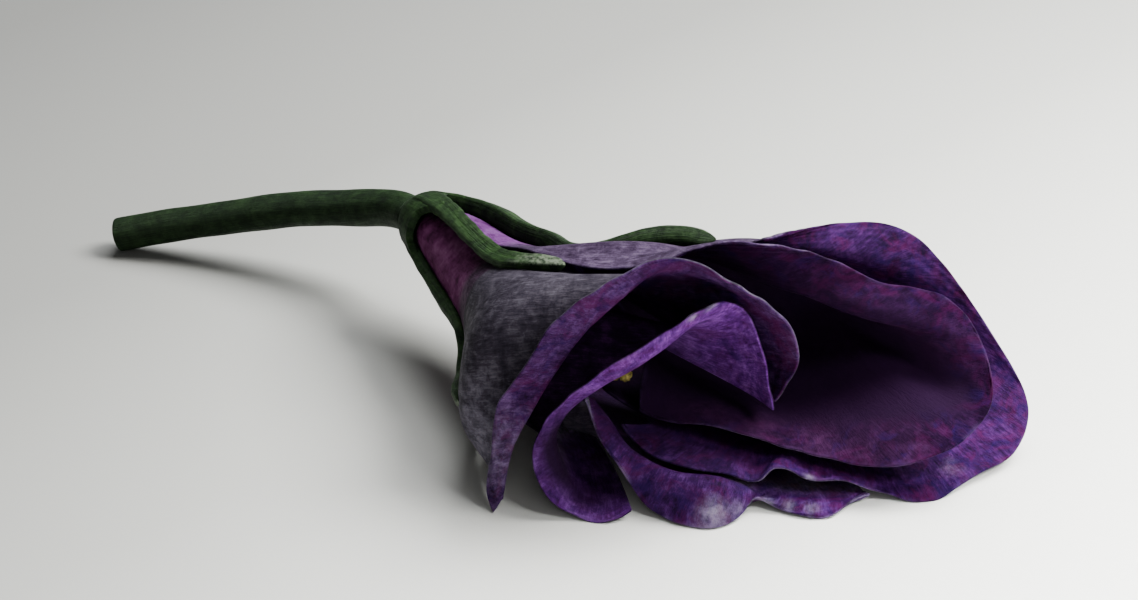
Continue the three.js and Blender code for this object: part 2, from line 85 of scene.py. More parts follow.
def spline_bends(points, knots):
    """Second derivatives of natural cubic splines, one for each row of points and its knots."""
    curves, count, _ = points.shape
    steps = np.diff(knots, axis=1)
    system = np.zeros((curves, count, count))
    load = np.zeros_like(points)
    system[:, 0, 0] = 1
    system[:, -1, -1] = 1
    slopes = np.diff(points, axis=1) / steps[:, :, None]
    for i in range(1, count - 1):
        system[:, i, i - 1] = steps[:, i - 1]
        system[:, i, i] = 2 * (steps[:, i - 1] + steps[:, i])
        system[:, i, i + 1] = steps[:, i]
        load[:, i] = 6 * (slopes[:, i] - slopes[:, i - 1])
    return np.linalg.solve(system, load)


def spline_points(points, knots, at):
    """Points of the splines at the places `at`, in the unit of the knots."""
    bends = spline_bends(points, knots)
    span = (knots[:, None, :] <= at[:, :, None] + 1e-9).sum(axis=2) - 1
    span = np.clip(span, 0, points.shape[1] - 2)
    row = np.arange(points.shape[0])[:, None]
    width = (knots[row, span + 1] - knots[row, span])[..., None]
    left = knots[row, span + 1][..., None] - at[..., None]
    right = at[..., None] - knots[row, span][..., None]
    straight = (points[row, span] * left + points[row, span + 1] * right) / width
    curl = bends[row, span] * (left**3 / width - left * width)
    curl += bends[row, span + 1] * (right**3 / width - right * width)
    return straight + curl / 6


def chord_knots(points, least=0.0):
    """Knots spaced by the distance from point to point."""
    steps = np.maximum(np.linalg.norm(np.diff(points, axis=1), axis=2), least)
    return np.concatenate([np.zeros((len(points), 1)), np.cumsum(steps, axis=1)], axis=1)


def curve_through(points, shares):
    """Points at shares 0 to 1 of one natural spline through the given points."""
    points = np.asarray(points, float)[None]
    knots = chord_knots(points)
    return spline_points(points, knots, np.asarray(shares, float)[None] * knots[:, -1:])[0]


AXIS_LENGTH = chord_knots(TUBE_AXIS[None])[0, -1]


def tube_frames(distance):
    """Centres and cross directions of the tube at distances along its axis, straight past both ends."""
    distance = np.atleast_1d(np.asarray(distance, float))
    inside = np.clip(distance, 0, AXIS_LENGTH) / AXIS_LENGTH
    centre = curve_through(TUBE_AXIS, inside)
    ahead = curve_through(TUBE_AXIS, np.clip(inside + 0.01, 0, 1))
    behind = curve_through(TUBE_AXIS, np.clip(inside - 0.01, 0, 1))
    heading = unit(ahead - behind)
    centre = centre + heading * (distance - inside * AXIS_LENGTH)[:, None]
    across = unit(np.cross([0, 0, 1], heading))
    upward = np.cross(heading, across)
    return centre, heading, across, upward


def on_tube(distance, degrees, radius):
    """Points on the tube: distance along the axis, angle from the horizontal, radius."""
    distance, degrees, radius = np.broadcast_arrays(distance, degrees, radius)
    shape = distance.shape
    centre, _, across, upward = tube_frames(distance.ravel())
    angle = np.radians(degrees.ravel().astype(float))[:, None]
    reach = radius.ravel().astype(float)[:, None]
    points = centre + reach * (np.cos(angle) * across + np.sin(angle) * upward)
    return points.reshape(shape + (3,))


def tube_arc(distance, from_degrees, to_degrees, from_radius, to_radius, count):
    """A row of points round the tube, its radius running evenly from first to last."""
    degrees = np.linspace(from_degrees, to_degrees, count)
    return on_tube(distance, degrees, np.linspace(from_radius, to_radius, count))


NO_REACH = (0.0, 0.0, 0.0)


def claw_rows(middle, tuck=0.0, lead_reach=NO_REACH, trail_reach=NO_REACH):
    """A petal's rows in the tube: its leading edge lies inside the neighbour's trailing edge.

    The reaches widen it at either edge, in degrees.
    """
    rows = []
    for i, distance in enumerate(TUBE_SECTIONS):
        lead = middle - TUBE_HALF_ANGLES[i] - lead_reach[i]
        trail = middle + TUBE_HALF_ANGLES[i] + trail_reach[i]
        inner = TUBE_RADII[i] - TUBE_STEPS[i] - tuck * i / 2
        outer = TUBE_RADII[i] + TUBE_STEPS[i]
        rows.append(tube_arc(distance, lead, trail, inner, outer, 5))
    return rows


# ---- meshes ----
def make_piece(name, points, faces, node, material, uv=None, values=None):
    """A finished piece: points in millimetres, its place in its mesh, standing for one CAD node."""
    points = np.asarray(points, float) + CENTRE_SHIFT
    points[:, 2] = np.maximum(points[:, 2], 0.0)
    mesh = bpy.data.meshes.new(name)
    mesh.from_pydata((points * MM).tolist(), [], np.asarray(faces).tolist())
    mesh.validate()
    if uv is not None:
        layer = mesh.uv_layers.new(name="along")
        corner = np.empty(len(mesh.loops), int)
        mesh.loops.foreach_get("vertex_index", corner)
        layer.data.foreach_set("uv", np.asarray(uv, float)[corner].ravel())
    for key, value in (values or {}).items():
        mesh.attributes.new(key, "FLOAT", "POINT").data.foreach_set("value", np.asarray(value, float))
    mesh.polygons.foreach_set("use_smooth", np.full(len(mesh.polygons), True))
    mesh.materials.append(material)
    piece = bpy.data.objects.new(name, mesh)
    bpy.context.collection.objects.link(piece)
    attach(piece, "root")
    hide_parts(node)
    return piece


def grid_faces(rows, columns, offset=0, closed=False):
    """Quads between neighbouring points of a grid, closed round its second way if asked."""
    i = np.arange(rows - 1)[:, None]
    j = np.arange(columns if closed else columns - 1)[None]
    after = (j + 1) % columns
    quads = [i * columns + j, (i + 1) * columns + j, (i + 1) * columns + after, i * columns + after]
    return np.stack(np.broadcast_arrays(*quads), axis=-1).reshape(-1, 4) + offset


def rings_round(centre, across, upward, radius, angle):
    """Rings along a path: the radius times the cosine of the angle across, and its sine upward."""
    rings = centre[:, None] + across[:, None] * (radius * np.cos(angle))[..., None]
    return rings + upward[:, None] * (radius * np.sin(angle))[..., None]


# Places of the extra points that round a petal's edge, and the row length that their shares come from.
EDGE_STEPS = (0.03, 0.12, 0.27)
EDGE_ROW_LENGTH = 60.0
# The least distance that counts between two rows where a petal narrows into the tube.
LEAST_ROW_STEP = 1.2


def edge_shares(count):
    """Even shares from 0 to 1, with extra ones close to both ends for a rounded edge."""
    even = np.linspace(0, 1, count)[1:-1]
    close = np.asarray(EDGE_STEPS) / EDGE_ROW_LENGTH
    return np.concatenate([[0], close, even, 1 - close[::-1], [1]])


def petal_sheet(rows, across, spans):
    """The middle surface of a petal: splines along every row, then natural splines across the rows.

    Returns the grid of points, and each point's distance in millimetres to the nearest free edge, to the
    rim and to the leading edge.
    """
    shares = edge_shares(across)
    lines = np.stack([curve_through(row, shares) for row in rows], axis=1)
    knots = chord_knots(lines, LEAST_ROW_STEP)
    stops = []
    for span, steps in enumerate(spans):
        fractions = np.arange(steps) / steps
        start = knots[:, span : span + 1]
        stops.append(start + (knots[:, span + 1 : span + 2] - start) * fractions[None])
    ends = knots[:, -1:] - np.array(EDGE_STEPS[::-1] + (0.0,))[None]
    at = np.concatenate(stops + [ends], axis=1)
    grid = spline_points(lines, knots, at)
    along = np.linalg.norm(np.diff(grid, axis=1), axis=2)
    to_rim = np.cumsum(along[:, ::-1], axis=1)[:, ::-1]
    to_rim = np.concatenate([to_rim, np.zeros((len(grid), 1))], axis=1)
    sideways = np.linalg.norm(np.diff(grid, axis=0), axis=2)
    start = np.zeros((1, grid.shape[1]))
    to_lead = np.concatenate([start, np.cumsum(sideways, axis=0)])
    to_trail = to_lead[-1:] - to_lead
    nearest = np.minimum(np.minimum(to_rim, to_lead), to_trail)
    return grid, nearest, to_rim, to_lead


def glow_round(points, spots):
    """Sum of bell curves round places given as a centre, a reach in millimetres and an amount."""
    total = np.zeros(len(points))
    for centre, reach, amount in spots:
        away = np.linalg.norm(points - np.array(centre), axis=1)
        total += amount * np.exp(-((away / reach) ** 2))
    return total


# The petals' UV map counts centimetres. A rim's paler colour, partly a painted highlight, fades over
# RIM_GLOW millimetres, the depth from the rim, which sets painted shade, is full at DEPTH_REACH, and the
# change from claw to blade is blurred over BLADE_BLUR points to each side.
UV_UNIT = 10
RIM_GLOW = 0.6
DEPTH_REACH = 60.0
BLADE_BLUR = 6


def petal_body(name, rows, across, spans, material, painted_shade_spots, wear_and_highlight_spots):
    """A closed petal: the middle surface moved out by half its thickness to both sides.

    The thickness falls from full inside to the rim's own, and ends in a half circle at each edge, where
    both faces share their points. A slight ruffle, a sine along the rim that dies away from it, moves
    the middle surface along its normal. Its points carry the numbers that the finish reads: outer face,
    rim, depth from the rim, spots of painted shade, spots of wear and painted highlight, and claw or
    blade.
    """
    grid, nearest, to_rim, to_lead = petal_sheet(rows, across, spans)
    normal = np.cross(np.gradient(grid, axis=0), np.gradient(grid, axis=1))
    normal /= np.linalg.norm(normal, axis=2, keepdims=True) + 1e-12
    wave = np.sin(to_lead * 0.9 + 1.3 * np.sin(to_lead * 0.23)) * np.exp(-to_rim / RUFFLE_REACH)
    grid = grid + normal * (RUFFLE_HEIGHT * wave)[..., None]
    inward = np.clip(nearest / RIM_WIDTH, 0, 1)
    full = RIM_THICKNESS + (PETAL_THICKNESS - RIM_THICKNESS) * inward
    rounding = np.sqrt(1 - (1 - np.clip(nearest / (RIM_THICKNESS / 2), 0, 1)) ** 2)
    half = (full * rounding / 2)[..., None]
    half[:, 0] = 0
    outer = grid + normal * half
    inner = grid - normal * half
    count_across, count_along, _ = grid.shape
    layer = count_across * count_along
    border = np.zeros((count_across, count_along), bool)
    border[0] = border[-1] = border[:, 0] = border[:, -1] = True
    index = np.arange(layer)
    below = np.full(layer, -1)
    below[border.ravel()] = index[border.ravel()]
    open_points = ~border.ravel()
    below[open_points] = layer + np.arange(open_points.sum())
    points = np.concatenate([outer.reshape(-1, 3), inner.reshape(-1, 3)[open_points]])
    faces = grid_faces(count_across, count_along)
    faces = np.concatenate([faces, below[faces][:, ::-1]])
    share_across = np.arange(count_across)[:, None] / (count_across - 1) * np.ones((1, count_along))
    width = to_lead[-1].max()
    reach = to_rim.max()
    uv = np.stack([share_across * width / UV_UNIT, (reach - to_rim) / UV_UNIT], axis=-1).reshape(-1, 2)
    uv = np.concatenate([uv, uv[open_points]])
    side = np.concatenate([np.where(border.ravel(), 0.5, 1.0), np.zeros(open_points.sum())])
    rim = np.exp(-nearest / RIM_GLOW).ravel()
    last_steps = np.full(len(EDGE_STEPS) + 1, len(spans))
    rows_in = np.concatenate([np.repeat(np.arange(len(spans)), spans), last_steps])
    blade_share = np.clip((rows_in - 1.0) / 2.0, 0, 1)
    window = 2 * BLADE_BLUR + 1
    blurred = np.convolve(np.pad(blade_share, BLADE_BLUR, mode="edge"), np.ones(window) / window, "valid")
    blade = (blurred[None] * np.ones((count_across, 1))).ravel()
    depth = np.clip(to_rim / DEPTH_REACH, 0, 1).ravel()
    values = {
        "outer_side": side,
        "rim": np.concatenate([rim, rim[open_points]]),
        "depth": np.concatenate([depth, depth[open_points]]),
        "painted_shade_mask": np.clip(glow_round(points, painted_shade_spots), 0, 1),
        "wear_and_painted_highlight": glow_round(points, wear_and_highlight_spots),
        "blade": np.concatenate([blade, blade[open_points]]),
    }
    return make_piece(name, points, faces, name, material, uv, values)


# ---- materials ----
def new_material(name):
    """A named principled material, its node tree and its shader."""
    material = bpy.data.materials.new(name)
    material.use_nodes = True
    return material, material.node_tree, material.node_tree.nodes["Principled BSDF"]


def place_of(tree, scale=(1, 1, 1), uv=False):
    """Object or UV coordinates, stretched by a mapping."""
    source = tree.nodes.new("ShaderNodeTexCoord")
    mapping = tree.nodes.new("ShaderNodeMapping")
    mapping.inputs["Scale"].default_value = scale
    tree.links.new(source.outputs["UV" if uv else "Object"], mapping.inputs["Vector"])
    return mapping.outputs["Vector"]


def noise(tree, vector, scale, detail=4.0, rough=0.55, twist=0.0):
    """A noise pattern, from 0 to 1."""
    node = tree.nodes.new("ShaderNodeTexNoise")
    node.inputs["Scale"].default_value = scale
    node.inputs["Detail"].default_value = detail
    node.inputs["Roughness"].default_value = rough
    node.inputs["Distortion"].default_value = twist
    tree.links.new(vector, node.inputs["Vector"])
    return node.outputs["Fac"]


def ramp(tree, factor, stops, colours):
    """Colours by factor, one at each stop."""
    node = tree.nodes.new("ShaderNodeValToRGB")
    while len(node.color_ramp.elements) < len(stops):
        node.color_ramp.elements.new(1.0)
    for element, place, colour in zip(node.color_ramp.elements, stops, colours):
        element.position = place
        element.color = (*colour, 1.0)
    tree.links.new(factor, node.inputs["Fac"])
    return node.outputs["Color"]


def span_of(tree, value, low, high, to_low=0.0, to_high=1.0):
    """A value moved from one range to another, held at both ends."""
    node = tree.nodes.new("ShaderNodeMapRange")
    for key, number in (("From Min", low), ("From Max", high), ("To Min", to_low), ("To Max", to_high)):
        node.inputs[key].default_value = number
    tree.links.new(value, node.inputs["Value"])
    return node.outputs["Result"]


def blend_colours(tree, factor, first, second):
    """Two colours mixed by a factor."""
    node = tree.nodes.new("ShaderNodeMix")
    node.data_type = "RGBA"
    for value, socket in ((factor, node.inputs[0]), (first, node.inputs[6]), (second, node.inputs[7])):
        if isinstance(value, bpy.types.NodeSocket):
            tree.links.new(value, socket)
        elif isinstance(value, tuple):
            socket.default_value = (*value, 1.0)
        else:
            socket.default_value = value
    return node.outputs[2]


def combine(tree, operation, first, second):
    """Two numbers combined by a named operation."""
    node = tree.nodes.new("ShaderNodeMath")
    node.operation = operation
    for value, socket in ((first, node.inputs[0]), (second, node.inputs[1])):
        if isinstance(value, bpy.types.NodeSocket):
            tree.links.new(value, socket)
        else:
            socket.default_value = value
    return node.outputs[0]


def attribute(tree, name):
    """A number stored on the piece's points."""
    node = tree.nodes.new("ShaderNodeAttribute")
    node.attribute_name = name
    return node.outputs["Fac"]


def relief(tree, shader, height, depth, strength):
    """Bump from a height pattern, its depth in millimetres and its strength as a share."""
    node = tree.nodes.new("ShaderNodeBump")
    node.inputs["Strength"].default_value = strength
    node.inputs["Distance"].default_value = depth * MM
    tree.links.new(height, node.inputs["Height"])
    tree.links.new(node.outputs["Normal"], shader.inputs["Normal"])


def weighted(tree, *terms):
    """The sum of patterns, each given with its weight, or with None to count in full."""
    total = None
    for pattern, weight in terms:
        part = pattern if weight is None else combine(tree, "MULTIPLY", pattern, weight)
        total = part if total is None else combine(tree, "ADD", total, part)
    return total


# Where the dark, middle and light tone of a petal and of a green skin lie in their patterns.
PETAL_STOPS = (0.415, 0.5, 0.59)
GREEN_STOPS = (0.42, 0.5, 0.59)
# The most that the blue wash covers.
COOL_MOST = 0.5
VIOLET_SHEEN = (0.80, 0.60, 1.0, 1.0)
# Depths of the reliefs in millimetres: petal, green skin, pollen and paper.
PETAL_RELIEF = 0.4
GREEN_RELIEF = 0.35
POLLEN_RELIEF = 0.3
PAPER_RELIEF = 0.05
GREEN_GLOSS = 0.14
PAPER_GLOSS = 0.1


def petal_finish(name, outer, inner, claw, rim_highlight_colour, rim_highlight_share=0.18, shade=0.0, blush_most=0.6,
                 wear_and_highlight_colour=None, gloss=0.05):
    """Brushed satin petal: fine strokes along its length over broad magenta and blue patches.

    outer, inner and claw are three colours each, dark to light: for the outer face, the inner face and
    the part in the tube. The rim's share is how much of the rim's paler colour shows, partly a painted
    highlight, shade is how much painted shade darkens the inner face away from its rim, and blush_most
    is the most that the magenta wash covers.
    """
    material, tree, shader = new_material(name)
    place = place_of(tree)
    strokes = noise(tree, place_of(tree, (3.2, 0.55, 1), uv=True), 5.0, 7.0, 0.7, 0.7)
    hairs = noise(tree, place_of(tree, (14.0, 1.3, 1), uv=True), 7.0, 4.0, 0.7, 0.3)
    patches = noise(tree, place, 170.0, 6.0, 0.66, 1.0)
    flecks = noise(tree, place, 620.0, 4.0, 0.7, 0.4)
    tone = weighted(tree, (strokes, 0.28), (hairs, 0.16), (patches, 0.28), (flecks, 0.28))
    outer_colour = ramp(tree, tone, PETAL_STOPS, outer)
    inner_colour = ramp(tree, tone, PETAL_STOPS, inner)
    claw_colour = ramp(tree, tone, PETAL_STOPS, claw)
    blush = span_of(tree, noise(tree, place, 190.0, 6.0, 0.7, 1.2), 0.48, 0.62, 0.0, blush_most)
    inner_colour = blend_colours(tree, blush, inner_colour, MAGENTA_WASH)
    cool = span_of(tree, noise(tree, place, 240.0, 5.0, 0.68, 0.9), 0.52, 0.64, 0.0, COOL_MOST)
    inner_colour = blend_colours(tree, cool, inner_colour, BLUE_WASH)
    # Painted shade: the inner face darkens with its depth from the rim.
    inside = span_of(tree, attribute(tree, "depth"), 0.06, 0.2, 0.0, shade)
    inner_colour = blend_colours(tree, inside, inner_colour, PAINTED_SHADE_DARK)
    # Painted shade: the inner face darkens round the heart of the bloom and under overhanging petals, at
    # the listed shade spots.
    painted_shade_amount = weighted(tree, (attribute(tree, "painted_shade_mask"), None), (tone, 0.3))
    deep_painted_shade = span_of(tree, painted_shade_amount, 0.15, 1.1, 0.0, 0.98)
    inner_colour = blend_colours(tree, deep_painted_shade, inner_colour, PAINTED_SHADE_DARK)
    blade = weighted(tree, (attribute(tree, "blade"), None), (hairs, 0.16))
    outer_colour = blend_colours(tree, span_of(tree, blade, 0.44, 0.62), claw_colour, outer_colour)
    # Painted shade on the outer face too, where the shade spots are strongest.
    outer_colour = blend_colours(tree, span_of(tree, painted_shade_amount, 0.62, 0.95), outer_colour, PAINTED_SHADE_DARK)
    side = span_of(tree, attribute(tree, "outer_side"), 0.3, 0.7)
    colour = blend_colours(tree, side, inner_colour, outer_colour)
    # Paler rims, partly a painted highlight.
    edge = combine(tree, "MULTIPLY", attribute(tree, "rim"), span_of(tree, patches, 0.4, 0.6, 0.1, 1.0))
    colour = blend_colours(tree, span_of(tree, edge, 0.2, 0.9, 0.0, rim_highlight_share), colour, rim_highlight_colour)
    # Spots of wear mixed with painted highlights on lips and faces, lighter in flecks and patches.
    wear_and_highlight_mask = span_of(tree, flecks, 0.38, 0.62, 0.35, 1.0)
    wear_and_highlight_mask = combine(tree, "MULTIPLY", attribute(tree, "wear_and_painted_highlight"), wear_and_highlight_mask)
    wear_and_highlight_mask = combine(tree, "MULTIPLY", wear_and_highlight_mask, span_of(tree, patches, 0.38, 0.56, 0.5, 1.0))
    colour = blend_colours(tree, span_of(tree, wear_and_highlight_mask, 0.02, 1.0), colour, wear_and_highlight_colour or HIGHLIGHT_AND_WEAR_WHITE)
    tree.links.new(colour, shader.inputs["Base Color"])
    tree.links.new(span_of(tree, tone, 0.38, 0.62, 0.62, 0.42), shader.inputs["Roughness"])
    shader.inputs["Specular IOR Level"].default_value = gloss
    shader.inputs["Specular Tint"].default_value = VIOLET_SHEEN
    height = weighted(tree, (strokes, None), (hairs, 0.6), (flecks, 0.45))
    relief(tree, shader, height, PETAL_RELIEF, 0.7)
    return material


def green_finish(name, tones):
    """Matt green skin with fine lengthwise lines and paler crests, its tones dark to light."""
    material, tree, shader = new_material(name)
    shader.inputs["Specular IOR Level"].default_value = GREEN_GLOSS
    place = place_of(tree)
    mottle = noise(tree, place, 380.0, 6.0, 0.74, 0.4)
    lines = noise(tree, place_of(tree, (7.0, 0.5, 1), uv=True), 4.0, 5.0, 0.65)
    tone = weighted(tree, (mottle, 0.55), (lines, 0.45))
    colour = ramp(tree, tone, GREEN_STOPS, tones)
    grain = noise(tree, place, 1400.0, 3.0, 0.7)
    speckle = span_of(tree, grain, 0.38, 0.6, 0.35, 1.3)
    crest = weighted(tree, (attribute(tree, "crest"), speckle), (mottle, 0.5))
    colour = blend_colours(tree, span_of(tree, crest, 0.55, 1.4, 0.0, 0.8), colour, PALE_GREEN)
    tree.links.new(colour, shader.inputs["Base Color"])
    tree.links.new(span_of(tree, tone, 0.4, 0.62, 0.72, 0.52), shader.inputs["Roughness"])
    height = weighted(tree, (mottle, None), (lines, None), (grain, 0.5))
    relief(tree, shader, height, GREEN_RELIEF, 0.7)
    return material


def pollen_finish():
    """Grainy dull yellow."""
    material, tree, shader = new_material("pollen_yellow")
    grain = noise(tree, place_of(tree), 1500.0, 3.0, 0.6)
    colour = ramp(tree, grain, (0.35, 0.6), POLLEN_TONES)
    tree.links.new(colour, shader.inputs["Base Color"])
    tree.links.new(span_of(tree, grain, 0.35, 0.65, 0.65, 0.9), shader.inputs["Roughness"])
    relief(tree, shader, grain, POLLEN_RELIEF, 0.8)
    return material


def backdrop_finish():
    """Seamless pale paper with a painted light falloff: much darker towards the far left, palest near
    right.
    """
    material, tree, shader = new_material("pale_paper")
    axes = tree.nodes.new("ShaderNodeSeparateXYZ")
    tree.links.new(place_of(tree), axes.inputs["Vector"])
    # Painted light falloff across the paper, from the far left to the near right.
    towards = combine(tree, "SUBTRACT", axes.outputs["X"], axes.outputs["Y"])
    share = span_of(tree, towards, -0.26, 0.15)
    tint = ramp(tree, share, PAPER_FALLOFF_STOPS, PAPER_FALLOFF_TONES)
    fibre = noise(tree, place_of(tree), 900.0, 4.0, 0.6)
    tint = blend_colours(tree, span_of(tree, fibre, 0.3, 0.7, 0.0, 0.025), tint, PAPER_FIBRE)
    tree.links.new(tint, shader.inputs["Base Color"])
    tree.links.new(span_of(tree, fibre, 0.3, 0.7, 0.85, 0.95), shader.inputs["Roughness"])
    shader.inputs["Specular IOR Level"].default_value = PAPER_GLOSS
    relief(tree, shader, fibre, PAPER_RELIEF, 0.2)
    return material


# ---- petals ----
# Rows of points from the leading to the trailing edge. They follow the three claw rows in the tube, and
# the last row is the free rim.
HOOD_ROWS = [
    [[0, -11, 26], [-6.5, -14.2, 29.2], [-12.6, -16.8, 28.2], [-16, -19.4, 22.3], [-16, -20.2, 13],
     [-12.8, -18, 5]],
    [[15, -18, 21.5], [11, -19.5, 27.4], [4, -21.8, 31.4], [-4, -25, 33.1], [-10.5, -29, 29.4],
     [-14.4, -32.3, 21], [-14.6, -33.5, 10], [-12, -34, 3]],
    [[28.8, -23, 11.4], [31.6, -24, 19.7], [28, -26, 29.1], [20.3, -28, 35.5], [13.2, -31.5, 38.5],
     [8.1, -33, 34.8], [2.5, -33.5, 29], [-1.7, -34.5, 23.1], [-6.1, -36.5, 16], [-9.2, -38.5, 9.8],
     [-10.7, -40.5, 2]],
    [[32.6, -29, 13.1], [36, -29, 20.5], [32.4, -31.5, 30.7], [27, -34, 36.2], [22.3, -35, 39.8],
     [16.9, -33.3, 41.5], [10.8, -34.7, 41], [5.1, -36.5, 38.5], [-2.9, -38.5, 32.5], [-7.8, -38.9, 24],
     [-11.1, -37.7, 18], [-12.3, -39.5, 9], [-12.9, -39.5, 3], [-11.9, -40.7, -0.1]],
]
TONGUE_LOW = [[85, 7.6], [118, 8.6], [151, 9.7], [184, 10.6], [217, 11.7], [251, 13.4], [285, 15.6]]
TONGUE_MIDDLE = [[35, 9.1], [70, 9.8], [105, 10.4], [140, 11], [175, 11.6], [210, 12.4], [246, 13.7],
                 [283, 15.3]]
TONGUE_ROWS = [
    [[29.7, -26.3, 12.3], [27.9, -25, 16.6], [25.8, -24.5, 22.4], [21.4, -28, 27.9], [14.9, -32.5, 25.5],
     [9.8, -34.5, 22.9], [3.3, -35.5, 19], [-1.1, -36, 14.5], [-2.5, -36.5, 10.8], [-2, -37.5, 6.8],
     [0.8, -38.5, 1.9], [4.9, -39.3, 0.8], [9.3, -39.3, 1.5]],
    [[32.2, -32, 13.4], [31.5, -30.2, 17.3], [29.3, -29, 26], [26.9, -29, 30.3], [23.2, -32, 33],
     [20.5, -34, 33], [13.5, -36, 29.1], [8.1, -37.5, 26.2], [2.3, -38.5, 22.1], [-2.6, -39, 17.4],
     [-5.3, -39.5, 12.2], [-5.5, -40.5, 7.8], [-3.3, -42.5, 4.1], [0.9, -43, 0.9], [5.6, -44, 0.3],
     [9.8, -42.6, 1.8]],
]
FLOOR_ROWS = [
    [[-1, -27, 11.5], [1.5, -28.5, 8], [8, -26, 5.2], [18, -22, 2.8], [28, -19.5, 1.2], [38, -19, 0.3]],
    [[3.6, -28.5, 13.4], [6.2, -30.5, 9.6], [9, -32.6, 6.3], [12.8, -33.8, 4.2], [16.7, -35, 3.2],
     [20.6, -35.6, 2.9], [26.2, -35.6, 2.4], [29.5, -35.6, 1.7], [35, -36, 1.3], [41.3, -36.8, 1.1],
     [46.2, -35.3, 0.9]],
    [[3, -31.2, 15.6], [4.9, -33.4, 13.1], [7, -35.6, 11], [9.8, -38, 8.7], [13.7, -40, 7.6],
     [18.1, -41, 6.8], [22.3, -41, 6.5], [25.6, -41, 5], [28, -40.4, 2.9], [29.8, -39.4, 1.9],
     [32, -39.4, 1.9], [36.2, -40.4, 1.5], [41, -40.6, 1.2], [44.4, -38.6, 1.1], [46.8, -36.7, 1.1]],
    [[2.4, -32, 16.8], [3.8, -35, 12.8], [5.3, -37.5, 10.5], [7.3, -39.5, 8.5], [10.2, -40.6, 4],
     [13, -42.2, 1.4], [17.3, -44.4, 0.3], [20.4, -45.4, 0.2], [23.8, -44.9, 0.2], [26.9, -42.7, 1],
     [29.2, -40.4, 2.3], [31.9, -40.7, 1.2], [36.2, -42.3, 0.5], [40.5, -42.6, 0.3], [43.9, -39.9, 0.9],
     [47.5, -37.6, 1.3]],
]
OUTER_ROWS = [
    [[9, -24, 9.6], [20, -21, 5.8], [32, -16, 5.8], [41, -7, 11.5], [41.5, -2, 20], [35, -2.5, 27],
     [24, -4.5, 27.4]],
    [[13, -28, 8.6], [24, -29, 6.4], [36, -29, 5.2], [52, -26, 3], [61.5, -14.5, 7], [61.5, -9.5, 14.5],
     [56, -8, 22.5], [46, -8.5, 27.5], [34, -9.5, 30.5], [27, -10, 30.8]],
    [[8.2, -30, 9.6], [10, -32.6, 8.2], [13, -35, 7], [16.5, -36.6, 6.2], [20.4, -37.5, 5.8],
     [25.2, -37.8, 5], [28.8, -38.3, 4.2], [30.5, -39.1, 5.4], [31.9, -38.7, 7], [34.1, -38.7, 6.8],
     [36.2, -38.9, 5.6], [38.6, -39.1, 5], [42.9, -38.6, 4.5], [46.6, -38.1, 3], [51, -37.9, 1.2],
     [55.4, -38.2, 0.2], [57.8, -37.7, 0.2], [63.8, -33.4, 1.4], [70.9, -28, 2], [74.1, -23, 3.9],
     [74.8, -17.8, 6.6], [72.1, -14, 11.4], [66.3, -10.5, 19.7], [60.5, -7, 26.6], [54, -4, 30.9],
     [49.6, -3.5, 31.6], [39.4, -7, 32.7], [31.1, -13, 33.6]],
]
BOWL_ROWS = [
    [[12, -20.5, 13.5], [23, -18, 9.6], [33.5, -12.5, 10.8], [38.5, -8, 17.5], [36.8, -7, 23.5],
     [28, -11, 28.2], [16.5, -13.6, 32.4], [4.6, -21.4, 33]],
    [[11.4, -23.6, 12.6], [14.6, -25, 11.5], [17.8, -26.3, 10.9], [20.9, -27, 10.7], [24.9, -27.5, 10.6],
     [30, -28, 9.5], [36.8, -29.4, 9.1], [44.2, -32.4, 9.8], [52.1, -33.6, 10.8], [58.5, -31, 12.6],
     [62.4, -26.8, 13.8], [62.4, -24.2, 18.5], [59.6, -23.2, 22.3], [53.2, -23, 25], [44.3, -22.5, 28.6],
     [35.6, -21.3, 31], [29.3, -20.2, 33.2], [22.9, -20, 35.3], [17.4, -21, 36.2], [12.6, -24, 35]],
    [[11.2, -28, 10.9], [14.5, -29.6, 10], [19.2, -31, 10.3], [23, -32, 10.3], [26.9, -33.2, 10],
     [30, -34, 9.3], [35.1, -35.4, 8.3], [41.6, -37, 7.4], [46.3, -37.9, 6.8], [52, -38.3, 7.1],
     [57.4, -36.8, 8], [60.6, -35.8, 9], [64, -33, 10.4],
     [66.5, -30.5, 12.6], [67.2, -27.5, 15.3], [66.1, -24, 19.7], [63.5, -21, 23.8], [59.9, -19, 26.5],
     [55, -18.5, 27.9], [49.3, -19, 29.3], [45.1, -20.5, 32.3], [40.8, -22.5, 35.4], [35.9, -24.3, 38],
     [29.1, -25.6, 39.8], [23.1, -26.3, 40.3], [19, -27, 39.5], [15.3, -28.1, 38]],
]


def tube_row(distance, stations):
    """A row round the tube through stations of angle and radius."""
    stations = np.array(stations, float)
    return on_tube(distance, stations[:, 0], stations[:, 1])


def tube_stations(stations):
    """Places on the tube from stations of distance, angle and radius."""
    return on_tube(*np.array(stations, float).T)


# The centre of the painted shade inside the bloom, just below the anthers.
THROAT = (10.0, -19.0, 13.0)
